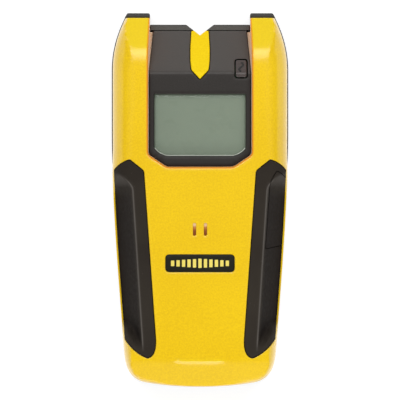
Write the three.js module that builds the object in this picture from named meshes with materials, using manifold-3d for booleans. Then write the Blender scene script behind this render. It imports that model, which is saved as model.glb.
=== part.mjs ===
// Handheld stud finder (capacitive wall scanner), modelled as the assembly it is on the bench.
// Millimetres. X is the width, +Y points to the marking notch, +Z out of the display face.
// The origin is on the wall side, in the middle of the bounding box: the tool lies on its glide pads.
import * as THREE from "three";
import { mergeVertices } from "three/addons/utils/BufferGeometryUtils.js";
import Module from "manifold-3d";

const wasm = await Module();
wasm.setup();

// ---- Driving dimensions -------------------------------------------------------------------------
const HALF_LENGTH = 80.8; // ear tips and chin
const SHOULDER_X = 38.2; // widest half width
const GAP = 0.3; // between separate pieces
const WALL = 2.0; // moulded wall

const PAD_Z = 0; // face of the glide pads
const BACK_Z = 0.8; // back of the rear housing
const FLOOR_Z = 2.8; // inside of the back
const SPLIT_Z = 11; // parting plane of the two housings
const ROLL_Z = 21; // where the side starts to roll over into the face
const FACE_Z = 35.5; // front face
const ROLL_X = 9.5; // how far the roll reaches in from the side

const EAR_INNER_X = 21.7; // half of the gap between the ears
const EAR_END_Y = 78.4; // end face of the front housing's ears
const EAR_END_Z = 28.7; // height of the ears' slope at its end
const EAR_GAP_Y = 72.4; // the front housing is open between the ears from here
const RIM_Y = 75.8; // end of the rear housing between the ears
const NOTCH = { halfWidth: 5.95, bottomY: 71.1 };
const ABOVE = 45; // higher than everything, for cutting tools
const BEYOND = 90; // further than everything along Y

const PANEL_Z = 33.4; // face of the display panel round the window
const PANEL = { halfWidth: 21.9, bottomY: 14.6, cornerX: 14.2, cornerY: 19.75, endY: 73.1 };
const CREASE_Y = 54.8; // the panel slopes towards the notch from here
const PANEL_END_Z = 18.5; // height of the panel's face at its end
const SLOPE = (PANEL_Z - PANEL_END_Z) / (PANEL.endY - CREASE_Y);
const WINDOW = { halfWidth: 19.75, topY: 45.6, bottomY: 18.9, cornerX: 5.4, cornerY: 3.6 };
const WINDOW_SEAT_Z = 31.3; // shelf under the clear window
const LCD = { y: 31.7, halfWidth: 18.6, halfHeight: 13.4, bottomZ: 27.4, topZ: 29.4, stripY: 11.5 };
const LENS = { x: 17.7, y: 56.5, width: 4.7, height: 7.4 };
const BADGE = { y: -27.2, width: 29.4, height: 7.2, radius: 1.5, sunk: 0.4, proud: 0.25 };

const SKIN = 2.0; // thickness of the rubber grips
const LIP_Z = 12.5; // top of the ledge below each grip
const RUBBER_EDGE = 0.95; // housing rim outside the grips
const SCOOP = { topY: 12, bottomY: -66, power: 1.25, crestDrop: 0.6 };
const RIDGE = { x: 29.05, y: 7.2, taper: 0.0638 }; // crest between a grip's face and its scoop

const BATTERY = { halfWidth: 13.25, endY: -70.5, length: 46.4, z: 3.3, thickness: 17.4 };
const TERMINALS = { plusX: 6.35, minusX: -6.35, z: BATTERY.z + BATTERY.thickness / 2 };
const BAY = { halfWidth: 14, y0: -71.4, y1: -17.8, topZ: 21.2, wall: 1.6 };
const DOOR = { halfWidth: 14.6, endY: -72.2, hingeY: -20, hingeZ: 2, barrel: 1.2, pin: 0.45 };
const LATCH = { halfWidth: 5, thickness: 1.2, hook: 1.2 };
const BUTTON_GAP = 0.45; // seam round the scan button
const KEY_STEM = { y: -6, z: 21, tipX: 21.9, radius: 1.6 }; // reaches from the key to its switch
const MAIN_BOARD_Z = 23; // underside of the main board
const BOARD = 1.2; // thickness of the main board
const UNDER_BOARD_Z = MAIN_BOARD_Z - 0.1; // tops of the parts that hang below the main board
const SENSOR_BOARD_Z = 4;
const BUZZER = { y: -12.6, radius: 11.4 };

const HOUSING_SCREWS = [[29.4, 63], [-29.4, 63], [24.5, -65], [-24.5, -65]];
const SCREW_WELL = { radius: 3.0, topZ: 5.4, boss: 3.9 };
const BOARD_SCREWS = [[15.5, 7], [-15.5, 7], [18, -21.5], [-18, -21.5]];
const PAD = { width: 6, length: 24, thickness: 1.3 };
const PADS = [[31, 34], [-31, 34], [28.6, -36], [-28.6, -36]];

// ---- Materials ----------------------------------------------------------------------------------
const paint = (color, roughness, metalness = 0) =>
  new THREE.MeshStandardMaterial({ color, roughness, metalness });
const YELLOW = paint(0xf6c81c, 0.42);
const BLACK = paint(0x232220, 0.5);
const CHARCOAL = paint(0x45413f, 0.55);
const RUBBER = paint(0x262422, 0.75);
const CLEAR = paint(0x9fb09c, 0.08);
const LCD_GREY = paint(0x8b9a86, 0.25);
const SMOKE = paint(0x5a5350, 0.2);
const ENAMEL = paint(0x1d1b1a, 0.35);
const GREEN = paint(0x1f5a34, 0.45);
const COPPER = paint(0xc07a45, 0.35, 0.9);
const BRASS = paint(0xcfa14a, 0.3, 0.9);
const CERAMIC = paint(0xdcd9d0, 0.4, 0.3);
const STEEL = paint(0x9a9a98, 0.35, 0.9);
const TIN = paint(0xc8c8c4, 0.3, 0.9);
const FELT = paint(0x3a3836, 0.95);
const PAPER = paint(0xc9c9c6, 0.6);
const FOAM = paint(0x4a4a4c, 0.95);
const CHIP = paint(0x18181a, 0.5);
const CELL = paint(0x2c3a52, 0.35, 0.2);
const WIRE_RED = paint(0xb02a20, 0.5);
const WIRE_BLACK = paint(0x1a1a1a, 0.5);

// ---- Solid helpers ------------------------------------------------------------------------------
const v2 = (x, y) => new THREE.Vector2(x, y);
const v3 = (x, y, z) => new THREE.Vector3(x, y, z);
// 0 at a and 1 at b, with a soft start and end, in either direction.
function smooth(a, b, x) {
  const t = THREE.MathUtils.clamp((x - a) / (b - a), 0, 1);
  return t * t * (3 - 2 * t);
}

// A three.js geometry as a manifold, turned the right way out.
function solid(geometry) {
  const loose = geometry.index ? geometry.toNonIndexed() : geometry;
  const bare = new THREE.BufferGeometry().setAttribute("position", loose.getAttribute("position"));
  const merged = mergeVertices(bare, 1e-4);
  const vertProperties = new Float32Array(merged.attributes.position.array);
  const triVerts = new Uint32Array(merged.index.array);
  const made = new wasm.Manifold(new wasm.Mesh({ numProp: 3, vertProperties, triVerts }));
  if (made.volume() > 0) return made;
  return new wasm.Manifold(new wasm.Mesh({ numProp: 3, vertProperties, triVerts: triVerts.reverse() }));
}

function geometryOf(manifold) {
  const mesh = manifold.getMesh();
  const geometry = new THREE.BufferGeometry();
  geometry.setAttribute("position", new THREE.BufferAttribute(mesh.vertProperties, 3));
  geometry.setIndex(new THREE.BufferAttribute(mesh.triVerts, 1));
  geometry.computeVertexNormals();
  return geometry;
}

const group = new THREE.Group();
function node(name, manifold, material) {
  const mesh = new THREE.Mesh(geometryOf(manifold), material);
  mesh.name = name;
  group.add(mesh);
}

const union = (...solids) => solids.reduce((a, b) => a.add(b));
const cut = (from, ...tools) => tools.reduce((a, b) => a.subtract(b), from);
const mirrored = (points) => points.map((p) => v2(-p.x, p.y)).reverse();

// A box from its lowest to its highest corner.
function box(x0, x1, y0, y1, z0, z1) {
  const g = new THREE.BoxGeometry(x1 - x0, y1 - y0, z1 - z0);
  return solid(g.translate((x0 + x1) / 2, (y0 + y1) / 2, (z0 + z1) / 2));
}

// A cylinder along Z, or a cone with two radii.
function post(x, y, z0, z1, r0, r1 = r0, sides = 20) {
  const g = new THREE.CylinderGeometry(r1, r0, z1 - z0, sides).rotateX(Math.PI / 2);
  return solid(g.translate(x, y, (z0 + z1) / 2));
}

// A cylinder along X.
function pinX(x0, x1, y, z, r, sides = 16) {
  const g = new THREE.CylinderGeometry(r, r, x1 - x0, sides).rotateZ(Math.PI / 2);
  return solid(g.translate((x0 + x1) / 2, y, z));
}

// A cylinder along Y.
function pinY(x, y0, y1, z, r, sides = 16) {
  return solid(new THREE.CylinderGeometry(r, r, y1 - y0, sides).translate(x, (y0 + y1) / 2, z));
}

const extruded = (shape, depth) =>
  new THREE.ExtrudeGeometry(shape, { depth, bevelEnabled: false, curveSegments: 4 });

// A plan outline raised from z0 to z1.
const prismZ = (points, z0, z1) =>
  solid(extruded(new THREE.Shape(points), z1 - z0).translate(0, 0, z0));

// A side profile in Y and Z drawn out across X.
function prismX(points, x0, x1) {
  const turn = new THREE.Matrix4().makeBasis(v3(0, 1, 0), v3(0, 0, 1), v3(1, 0, 0));
  return solid(extruded(new THREE.Shape(points), x1 - x0).applyMatrix4(turn).translate(x0, 0, 0));
}

// A closed skin through rings with the same number of points, with a fan of faces over each end.
function loft(rings) {
  const n = rings[0].length;
  const centre = (ring) => ring.reduce((sum, p) => sum.add(p), v3(0, 0, 0)).divideScalar(n);
  const points = [...rings.flat(), centre(rings[0]), centre(rings.at(-1))];
  const last = (rings.length - 1) * n;
  const [lowHub, highHub] = [points.length - 2, points.length - 1];
  const index = [];
  for (let i = 0; i < n; i++) {
    const j = (i + 1) % n;
    for (let r = 0; r < last; r += n) index.push(r + i, r + j, r + n + j, r + i, r + n + j, r + n + i);
    index.push(lowHub, j, i, highHub, last + i, last + j);
  }
  return solid(new THREE.BufferGeometry().setFromPoints(points).setIndex(index));
}
const loftZ = (levels) => loft(levels.map(({ z, points }) => points.map((p) => v3(p.x, p.y, z))));

// A counter-clockwise outline moved inwards by d(point).
function inset(points, d) {
  const n = points.length;
  const normal = (a, b) => v2(a.y - b.y, b.x - a.x).normalize();
  return points.map((p, i) => {
    const before = normal(points[(i + n - 1) % n], p);
    const after = normal(p, points[(i + 1) % n]);
    const mitre = before.clone().add(after).divideScalar(1 + before.dot(after));
    return p.clone().addScaledVector(mitre, typeof d === "function" ? d(p) : d);
  });
}

// A rectangle with rounded corners, as plan points.
function rounded(cx, cy, width, height, r, steps = 4) {
  const points = [];
  const corners = [[1, 1], [-1, 1], [-1, -1], [1, -1]];
  corners.forEach(([sx, sy], k) => {
    for (let i = 0; i <= steps; i++) {
      const a = ((k + i / steps) * Math.PI) / 2;
      const [x, y] = [width / 2 - r, height / 2 - r];
      points.push(v2(cx + sx * x + r * Math.cos(a), cy + sy * y + r * Math.sin(a)));
    }
  });
  return points;
}

// ---- Body form ----------------------------------------------------------------------------------
// The whole outline in plan, counter-clockwise, as if the gap between the ears were filled.
function bodyOutline(steps = 5) {
  const right = new THREE.Path();
  right.moveTo(0, -HALF_LENGTH);
  right.quadraticCurveTo(13, -HALF_LENGTH, 23.5, -78.9);
  right.bezierCurveTo(29.8, -77.6, 32.2, -73, 32.8, -65.5);
  right.bezierCurveTo(35.0, -38, 38.0, -4, SHOULDER_X, 28);
  right.lineTo(SHOULDER_X, 56);
  right.bezierCurveTo(SHOULDER_X, 66, 35, 74.2, 31.6, HALF_LENGTH);
  const points = right.getPoints(steps);
  return [...points, ...mirrored(points.slice(1))];
}
const OUTLINE = bodyOutline();
// The rear housing shows a thin edge beside the ears and is flush with the front one lower down.
const rearStep = (p) => 0.4 * smooth(-80, -72, p.y) * (1 - smooth(5, 20, p.y));
const frontStep = (p) => 0.5 * smooth(8, 24, p.y) + 0.2 * smooth(-72, -80, p.y);

// The roll is tighter round the chin and at the ear tips, and broader along the shoulders.
function rollReach({ y }) {
  const chin = 5 * smooth(-50, -74, y) + 2.3 * smooth(-77.5, -80.2, y);
  return ROLL_X - chin + 1.5 * smooth(22, 45, y) - 5.5 * smooth(66, 80, y);
}

// The front housing's outer form, shrunk evenly: the outline rolls over into the face.
function rollForm(shrink, bottomZ) {
  const levels = [{ z: bottomZ, points: inset(OUTLINE, (p) => frontStep(p) + shrink) }];
  const steps = 5;
  for (let k = 0; k <= steps; k++) {
    const a = (k / steps) * (Math.PI / 2);
    const z = ROLL_Z + (FACE_Z + 0.4 - ROLL_Z - shrink) * Math.sin(a);
    const reach = (p) => frontStep(p) + shrink + (rollReach(p) - shrink) * (1 - Math.cos(a));
    levels.push({ z: z + 0.01, points: inset(OUTLINE, reach) });
  }
  return loftZ(levels);
}

// Height of the front face along the middle: a soft chin crease, a flat face, and the ears' slope.
function faceProfile(shrink) {
  const top = new THREE.Path();
  top.moveTo(EAR_END_Y - shrink, EAR_END_Z - shrink);
  top.lineTo(66, 34.15 - shrink);
  top.quadraticCurveTo(62.9, FACE_Z - shrink, 57, FACE_Z - shrink);
  top.lineTo(-20, FACE_Z - shrink);
  top.quadraticCurveTo(-50, FACE_Z - shrink, -68.5, 34.2 - shrink);
  top.lineTo(-83, 29.6 - shrink);
  return [v2(-83, -2), v2(EAR_END_Y - shrink, -2), ...top.getPoints(6)];
}
const acrossX = (profile, halfWidth = 45) => prismX(profile, -halfWidth, halfWidth);
const bodyForm = (shrink, bottomZ) => rollForm(shrink, bottomZ).intersect(acrossX(faceProfile(shrink)));

// The display opening, whose walls open out towards the face: 7 degrees of draft.
const DRAFT = 0.12;
function openingOutline(grow) {
  const { halfWidth, bottomY, cornerX, cornerY } = PANEL;
  const right = [v2(cornerX, bottomY), v2(halfWidth, cornerY), v2(halfWidth, BEYOND)];
  return inset([...right, ...mirrored(right)], -grow);
}
const openingForm = (grow) =>
  loftZ([0, 40].map((z) => ({ z, points: openingOutline(grow + DRAFT * (z - PANEL_Z)) })));

// ---- Grips --------------------------------------------------------------------------------------
// Right-hand grip in plan: pointed at the top, rounded at the foot, open past the side of the body.
function gripOutline() {
  const edge = new THREE.Path();
  edge.moveTo(44, -56);
  edge.lineTo(33.2, -58.6);
  edge.quadraticCurveTo(29.0, -65.5, 22.6, -68.0);
  edge.quadraticCurveTo(18.9, -67.4, 19.0, -60.5);
  edge.lineTo(24.15, 12.6);
  edge.lineTo(30.2, 17.4);
  edge.quadraticCurveTo(35.6, 15.6, 38.4, 10.4);
  edge.lineTo(44, 3);
  return edge.getPoints(4).reverse();
}
const ridgeX = (y) => RIDGE.x + (y - RIDGE.y) * RIDGE.taper;

// Half width of the body at y, from the outline.
function sideX(y) {
  const side = OUTLINE.filter((p) => p.x > 0);
  const k = Math.max(1, side.findIndex((p) => p.y >= y));
  const [a, b] = [side[k - 1], side[k]];
  return a.x + ((b.x - a.x) * (y - a.y)) / (b.y - a.y);
}

// What a finger's scoop takes off the right side; grow moves its wall into the body.
function scoopCutter(grow) {
  const rings = [];
  const [steps, wallSteps] = [9, 5];
  const [above, outside] = [50, 60];
  for (let i = 0; i <= steps; i++) {
    const y = THREE.MathUtils.lerp(SCOOP.bottomY, SCOOP.topY, i / steps);
    const fade = 1 - smooth(SCOOP.bottomY + 9, SCOOP.bottomY, y) - smooth(SCOOP.topY - 8, SCOOP.topY, y);
    const inner = THREE.MathUtils.lerp(41, ridgeX(y), fade) - grow;
    const outer = Math.max(sideX(y) - RUBBER_EDGE, inner + 2) - grow * 0.4;
    const low = LIP_Z + 0.01 - grow * 0.1;
    const ring = [v3(inner, y, above)];
    for (let k = 0; k <= wallSteps; k++) {
      const u = k / wallSteps;
      const z = low + (FACE_Z - SCOOP.crestDrop - low) * (1 - u) ** SCOOP.power;
      ring.push(v3(THREE.MathUtils.lerp(inner, outer, u), y, z));
    }
    rings.push([...ring, v3(outside, y, low), v3(outside, y, above)]);
  }
  return loft(rings);
}

const flipX = (manifold) => manifold.mirror([1, 0, 0]);
const bothSides = (manifold) => manifold.add(flipX(manifold));

// The key lies in the upper half of the right scoop.
function buttonOutline(grow) {
  const outer = [v2(47, -20.6), v2(47, 4), v2(36.4, 9.6)];
  const inner = [v2(32.2, 10.2), v2(30.2, 6.4), v2(28.4, -20.0)];
  return inset([...outer, ...inner], -grow);
}

const cutterSkin = scoopCutter(0);
const cutterRecess = scoopCutter(SKIN);
const cutterInside = scoopCutter(SKIN + WALL);
const gripPlan = gripOutline();

// The rubber's area in plan, made smaller by clear, from z up.
function rubberArea(clear, z) {
  const insideRim = prismZ(inset(OUTLINE, RUBBER_EDGE + clear), z, ABOVE);
  return prismZ(inset(gripPlan, clear), z, ABOVE).intersect(insideRim);
}

// The housing is cut back here by the rubber's thickness.
const underRubber = bodyForm(SKIN, 0).subtract(cutterRecess);
const rubberRecess = rubberArea(0, LIP_Z).subtract(underRubber);

function gripBlank() {
  const back = bodyForm(SKIN - GAP, 0).subtract(scoopCutter(SKIN - GAP));
  const outside = bodyForm(0, 0).subtract(cutterSkin);
  return outside.intersect(rubberArea(GAP / 2, LIP_Z + GAP)).subtract(back);
}

// ---- Notch, window and small plan shapes --------------------------------------------------------
const notchTool = () => {
  const { halfWidth, bottomY } = NOTCH;
  const half = (halfWidth / (RIM_Y - bottomY)) * (BEYOND - bottomY);
  return prismZ([v2(0, bottomY), v2(half, BEYOND), v2(-half, BEYOND)], -5, ABOVE);
};

function windowOutline(grow) {
  const { halfWidth: w, topY, bottomY, cornerX, cornerY } = WINDOW;
  const right = new THREE.Path();
  right.moveTo(w - cornerX, bottomY);
  right.quadraticCurveTo(w - cornerX * 0.28, bottomY + cornerY * 0.28, w, bottomY + cornerY);
  right.lineTo(w, topY);
  const points = right.getPoints(4);
  return inset([...points, ...mirrored(points)], -grow);
}

function insertOutline(grow) {
  const right = [v2(0, 51.95), v2(3.7, 56.0), v2(4.15, 60), v2(4.15, 66), v2(3.7, PANEL.endY)];
  return inset([...right, ...mirrored(right.slice(1))], -grow);
}

const lensOutline = (grow) =>
  rounded(LENS.x, LENS.y, LENS.width + 2 * grow, LENS.height + 2 * grow, 0.8 + grow * 0.5, 2);

// The panel's face as a side profile, lowered by drop and shortened by back at its end.
function panelProfile(drop, back = 0) {
  const endY = PANEL.endY - back;
  const z = PANEL_Z - drop;
  return [v2(5, -5), v2(endY, -5), v2(endY, z - SLOPE * (endY - CREASE_Y)), v2(CREASE_Y, z), v2(5, z)];
}
const underPanel = (drop) => acrossX(panelProfile(drop));

// ---- Housings -----------------------------------------------------------------------------------
const SLOTS = [-2.35, 2.35].map((x) => rounded(x, BUZZER.y, 1.3, 5.4, 0.6, 3));

// Screw posts, and the ring that the sounder sits in, all hanging from the inside of the face.
function frontBosses() {
  const outer = HOUSING_SCREWS.map(([x, y]) => post(x, y, SPLIT_Z + 0.5, ABOVE, 3.2));
  const posts = BOARD_SCREWS.map(([x, y]) => post(x, y, MAIN_BOARD_Z + 1.5, ABOVE, 2.4, 2.4, 16));
  const bore = BUZZER.radius - 1;
  const ring = cut(
    post(0, BUZZER.y, 31.0, ABOVE, BUZZER.radius + 0.2, BUZZER.radius + 0.2, 28),
    post(0, BUZZER.y, 30, ABOVE + 1, bore, bore, 28),
  );
  return union(...outer, ...posts, ring).intersect(bodyForm(1, 0)).subtract(bothSides(rubberRecess));
}

function frontHousing() {
  const besideGrips = prismZ(inset(gripPlan, -WALL), 0, ABOVE).subtract(bodyForm(SKIN + WALL, 0));
  const inside = bodyForm(WALL, 0).subtract(bothSides(cutterInside)).subtract(bothSides(besideGrips));
  const closed = openingForm(WALL).subtract(underPanel(3.6));
  const scooped = cut(bodyForm(0, SPLIT_Z + 0.15), bothSides(cutterSkin), bothSides(rubberRecess));
  const shell = scooped.subtract(inside.subtract(closed));
  const chamfer = loftZ([
    { z: FACE_Z - 0.9, points: openingOutline(GAP + 0.25) },
    { z: FACE_Z + 3, points: openingOutline(GAP + 4.1) },
  ]);
  const keyRoom = prismZ(buttonOutline(1), LIP_Z + GAP, ABOVE).intersect(box(20, 45, -22, 14, 10, 34));
  const badgeRecess = prismZ(badgeOutline(0.2), FACE_Z - BADGE.sunk - 0.1, ABOVE);
  let made = union(shell, frontBosses());
  made = cut(made, openingForm(GAP), chamfer, keyRoom);
  made = cut(made, box(-EAR_INNER_X, EAR_INNER_X, EAR_GAP_Y, BEYOND, 0, ABOVE));
  made = cut(made, ...SLOTS.map((s) => prismZ(s, 28, ABOVE)), badgeRecess);
  made = cut(made, ...HOUSING_SCREWS.map(([x, y]) => post(x, y, 5, 21, 1.5, 1.5, 12)));
  return cut(made, ...BOARD_SCREWS.map(([x, y]) => post(x, y, 20, 31, 1.1, 1.1, 10)));
}

// The rear housing's plan levels from the softened back edge up to z.
function rearForm(shrink, z0, z1) {
  const at = (extra) => inset(OUTLINE, (p) => rearStep(p) + shrink + extra);
  return loftZ([{ z: z0, points: at(1.4) }, { z: z0 + 1.4, points: at(0) }, { z: z1, points: at(0) }]);
}

// Bumpers beyond the ears and the rim between them, each with a bevelled top edge.
function rearEnds() {
  const [bumperY, rimY] = [EAR_END_Y + GAP, PANEL.endY + 0.25];
  const bumper = [v2(bumperY, 2), v2(83, 2), v2(83, 11.5), v2(79.6, 16), v2(bumperY, 16)];
  const rim = [v2(rimY, 2), v2(83, 2), v2(83, 6), v2(73.4, 18.3), v2(rimY, 18.3)];
  return union(acrossX(bumper), acrossX(rim, EAR_INNER_X - GAP)).intersect(rearForm(0, -3, 30));
}

// The tub's own solids: walls, screw bosses, the notch's surround, the end between the ears, the bay.
function rearBody() {
  const tub = rearForm(0, BACK_Z, SPLIT_Z).subtract(rearForm(WALL + 1, FLOOR_Z, 30));
  const tongueLengths = union(box(-45, 45, 22, 56, 5, 30), box(-15, 15, -82, -72, 5, 30));
  const tongue = rearForm(WALL + 0.8, 5, SPLIT_Z + 1.5).subtract(rearForm(WALL + 1.6, 3, 30));
  const bosses = HOUSING_SCREWS.map(([x, y]) => post(x, y, 1.5, SPLIT_Z + 0.2, SCREW_WELL.boss));
  const notchWall = box(-9.5, 9.5, NOTCH.bottomY - 3.2, RIM_Y, 1.5, 14.5);
  const wall = 1.8;
  const endX = EAR_INNER_X + wall;
  const end = box(-endX, endX, RIM_Y - wall, RIM_Y, 1.5, SPLIT_Z);
  const earWall = box(EAR_INNER_X, endX, RIM_Y - wall, HALF_LENGTH - 1, 1.5, SPLIT_Z);
  const { halfWidth, y0, y1, topZ, wall: w } = BAY;
  const bay = box(-halfWidth - w, halfWidth + w, y0 - w, y1 + w, FLOOR_Z - 1, topZ + 1.5);
  const endWalls = union(end, bothSides(earWall), rearEnds());
  return union(tub, tongue.intersect(tongueLengths), endWalls, ...bosses, notchWall, bay);
}

function rearHousing() {
  const betweenEars = box(-EAR_INNER_X, EAR_INNER_X, RIM_Y, BEYOND, -2, ABOVE);
  const bayInside = box(-BAY.halfWidth, BAY.halfWidth, BAY.y0, BAY.y1, FLOOR_Z - 1.2, BAY.topZ);
  const { halfWidth: w, endY, hingeY, hingeZ, barrel } = DOOR;
  const doorway = box(-w - GAP, w + GAP, endY - GAP, hingeY + barrel + GAP, -1, FLOOR_Z + 0.9);
  const pinBores = pinX(-w - 2.4, w + 2.4, hingeY, hingeZ, DOOR.pin + GAP, 12);
  const wireSlot = box(-6, 6, BAY.y1 - 0.7, BAY.y1 + 2.8, 9, 14.5);
  const reach = LATCH.halfWidth + GAP;
  const latchPocket = box(-reach, reach, endY - LATCH.hook - 0.6, endY + 1, -1, 5.5);
  let made = cut(rearBody(), betweenEars, notchTool(), bayInside, doorway, pinBores, wireSlot, latchPocket);
  for (const [x, y] of HOUSING_SCREWS) {
    made = cut(made, post(x, y, -1, SCREW_WELL.topZ, SCREW_WELL.radius), post(x, y, 0, 14, 1.6, 1.6, 12));
  }
  const padRecess = (x, y) => rounded(x, y, PAD.width + 0.4, PAD.length + 0.4, PAD.width / 2 + 0.2);
  return cut(made, ...PADS.map(([x, y]) => prismZ(padRecess(x, y), -1, PAD.thickness + 0.2)));
}

// ---- Display group ------------------------------------------------------------------------------
function displayPanel() {
  const outer = openingForm(0).intersect(underPanel(0));
  const hollow = openingForm(-1.5).intersect(acrossX(panelProfile(1.9, 1.5)));
  const below = underPanel(3.4);
  const ledgeProfile = [v2(13, 30.2), v2(47, 30.2), v2(47, 32.9), v2(13, 32.9)];
  const ledge = openingForm(-1).intersect(acrossX(ledgeProfile));
  let made = union(cut(outer, hollow, below), ledge);
  made = cut(made, prismZ(windowOutline(0), WINDOW_SEAT_Z, ABOVE), prismZ(windowOutline(-1.5), 20, ABOVE));
  const insertBed = prismZ(insertOutline(0.2), 0, ABOVE).subtract(underPanel(0.9));
  const lensBore = prismZ(lensOutline(GAP), 15, ABOVE);
  return cut(made, insertBed, lensBore, notchTool());
}

function markingInsert() {
  const plan = prismZ(insertOutline(0), 0, ABOVE);
  const raised = acrossX(panelProfile(-0.7, -5)).subtract(underPanel(0.6));
  return cut(plan.intersect(raised), notchTool(), box(-9, 9, PANEL.endY, BEYOND, 0, PANEL_END_Z + 5));
}

function warningLens() {
  const face = underPanel(-0.25).subtract(underPanel(2.6));
  return prismZ(lensOutline(0), 0, ABOVE).intersect(face);
}

const displayWindow = () => prismZ(windowOutline(-0.15), WINDOW_SEAT_Z + 0.2, PANEL_Z - 0.7);
// A block centred on the display.
const atLcd = (halfWidth, halfHeight, z0, z1, offset = 0) =>
  box(-halfWidth, halfWidth, LCD.y + offset - halfHeight, LCD.y + offset + halfHeight, z0, z1);
const lcdGlass = () => atLcd(LCD.halfWidth, LCD.halfHeight, LCD.bottomZ, LCD.topZ);
const lcdFrame = () =>
  cut(
    atLcd(LCD.halfWidth + 1.4, LCD.halfHeight + 1.6, 24.5, LCD.topZ),
    atLcd(LCD.halfWidth + GAP, LCD.halfHeight + GAP, 24, 30),
  );
const zebraStrip = (side) => atLcd(17, 1, 24.3, LCD.bottomZ - 0.1, side * LCD.stripY);

// ---- Scan key -----------------------------------------------------------------------------------
function scanButton(blank) {
  const clearOfLedge = box(20, 45, -30, 20, LIP_Z + 0.9, ABOVE);
  return blank.intersect(prismZ(buttonOutline(0), 0, ABOVE)).intersect(clearOfLedge);
}
// Hard core behind the key: a plate under the rubber, and the stem that reaches the switch.
function buttonCarrier() {
  const behind = bodyForm(SKIN + 0.1, 0).subtract(scoopCutter(SKIN + 0.1));
  const region = prismZ(inset(buttonOutline(0), 0.6), 15.5, 29.5).intersect(box(20, 45, -19, 6, 0, ABOVE));
  const plate = region.intersect(behind).intersect(scoopCutter(SKIN + 1.7));
  const stem = pinX(KEY_STEM.tipX, 34, KEY_STEM.y, KEY_STEM.z, KEY_STEM.radius, 12).intersect(behind);
  return union(plate, stem);
}
const switchBody = () =>
  box(16.2, 20, KEY_STEM.y - 3, KEY_STEM.y + 3, 18.6, UNDER_BOARD_Z)
    .subtract(pinX(18.4, 21, KEY_STEM.y, KEY_STEM.z, 1.3, 12));
const switchPlunger = () => pinX(19.3, KEY_STEM.tipX - GAP, KEY_STEM.y, KEY_STEM.z, 1.2, 12);

// ---- Electronics --------------------------------------------------------------------------------
function mainBoard() {
  const plate = box(-20, 20, -24, 58, MAIN_BOARD_Z, MAIN_BOARD_Z + BOARD);
  const holes = BOARD_SCREWS.map(([x, y]) => post(x, y, 20, 30, 1.2, 1.2, 10));
  return cut(plate, ...holes, box(-9.5, 9.5, 50, 60, 20, 30));
}
const sensorBoard = () =>
  cut(box(-24, 24, -13, 64, SENSOR_BOARD_Z, SENSOR_BOARD_Z + 1), box(-10.5, 10.5, 60, 70, 0, 10));
const sensorPlate = (x) => box(x - 6.4, x + 6.4, -8, 56, SENSOR_BOARD_Z - 0.45, SENSOR_BOARD_Z - 0.15);
function boardLink() {
  const base = box(-18.3, -15.7, -8.2, 2.2, 5.1, 7.6);
  const pitch = 2.54;
  const pins = [0, 1, 2, 3].map((k) => post(-17, -7 + k * pitch, 6, UNDER_BOARD_Z, 0.32, 0.32, 6));
  return union(base, ...pins);
}
// A disc of the sounder, centred below the sound slots.
const sounder = (z0, z1, r) => post(0, BUZZER.y, z0, z1, r, r, 28);
const buzzerRing = () => cut(sounder(29.6, 30.9, BUZZER.radius), sounder(29, 32, BUZZER.radius - 2.2));
const buzzerDisc = () => sounder(31.1, 31.4, BUZZER.radius - 1.3);
const buzzerCeramic = () => sounder(30.7, 30.95, 6.5);
const controllerChip = () => box(-7, 7, 22, 36, 21.2, UNDER_BOARD_Z);
const crystal = () => prismZ(rounded(12.5, 20, 4, 11, 1.9), 19.6, UNDER_BOARD_Z);
const capacitor = () => post(-13, 14, 15.5, UNDER_BOARD_Z, 3.1, 3.1, 16);
function warningLed() {
  const dome = solid(new THREE.SphereGeometry(1.5, 10, 6).translate(LENS.x, LENS.y, 26.2));
  return union(post(LENS.x, LENS.y, 24.3, 26.2, 1.5, 1.5, 12), dome.intersect(box(10, 25, 50, 60, 25.5, 30)));
}

// ---- Battery ------------------------------------------------------------------------------------
const CELL_TOP_Y = BATTERY.endY + BATTERY.length;
function batteryCell() {
  const { halfWidth: w, endY, z, thickness } = BATTERY;
  const [top, c] = [z + thickness, 1.2];
  const low = [v2(-w, z + c), v2(-w + c, z), v2(w - c, z), v2(w, z + c)];
  const high = [v2(w, top - c), v2(w - c, top), v2(-w + c, top), v2(-w, top - c)];
  const turn = new THREE.Matrix4().makeBasis(v3(1, 0, 0), v3(0, 0, 1), v3(0, -1, 0));
  const bar = extruded(new THREE.Shape([...low, ...high]), BATTERY.length).applyMatrix4(turn);
  return solid(bar.translate(0, endY + BATTERY.length, 0));
}
const terminal = (x, r) => pinY(x, CELL_TOP_Y + 0.05, CELL_TOP_Y + 2.1, TERMINALS.z, r, 14);
function batterySnap() {
  const y0 = CELL_TOP_Y + 0.3;
  const body = box(-12.4, 12.4, y0, y0 + 4.2, TERMINALS.z - 5.6, TERMINALS.z + 5.6);
  const sockets = [[TERMINALS.plusX, 3.2], [TERMINALS.minusX, 4.3]];
  return cut(body, ...sockets.map(([x, r]) => pinY(x, y0 - 1, CELL_TOP_Y + 2.4, TERMINALS.z, r, 14)));
}
function lead(side) {
  const route = [
    v3(side * 3, CELL_TOP_Y + 4.7, 12),
    v3(side * 3, -17.5, 12),
    v3(side * 3.6, -14.5, 13),
    v3(side * 4.4, -12.6, 16.5),
    v3(side * 4.4, -12.4, MAIN_BOARD_Z - 0.3),
  ];
  const section = new THREE.Shape().absarc(0, 0, 0.65, 0, Math.PI * 2);
  const extrudePath = new THREE.CatmullRomCurve3(route);
  return solid(new THREE.ExtrudeGeometry(section, { steps: 8, curveSegments: 4, extrudePath }));
}
const batteryFoam = () => box(-9, 9, -62, -32, BATTERY.z + BATTERY.thickness + 0.1, BAY.topZ - 0.1);

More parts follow.
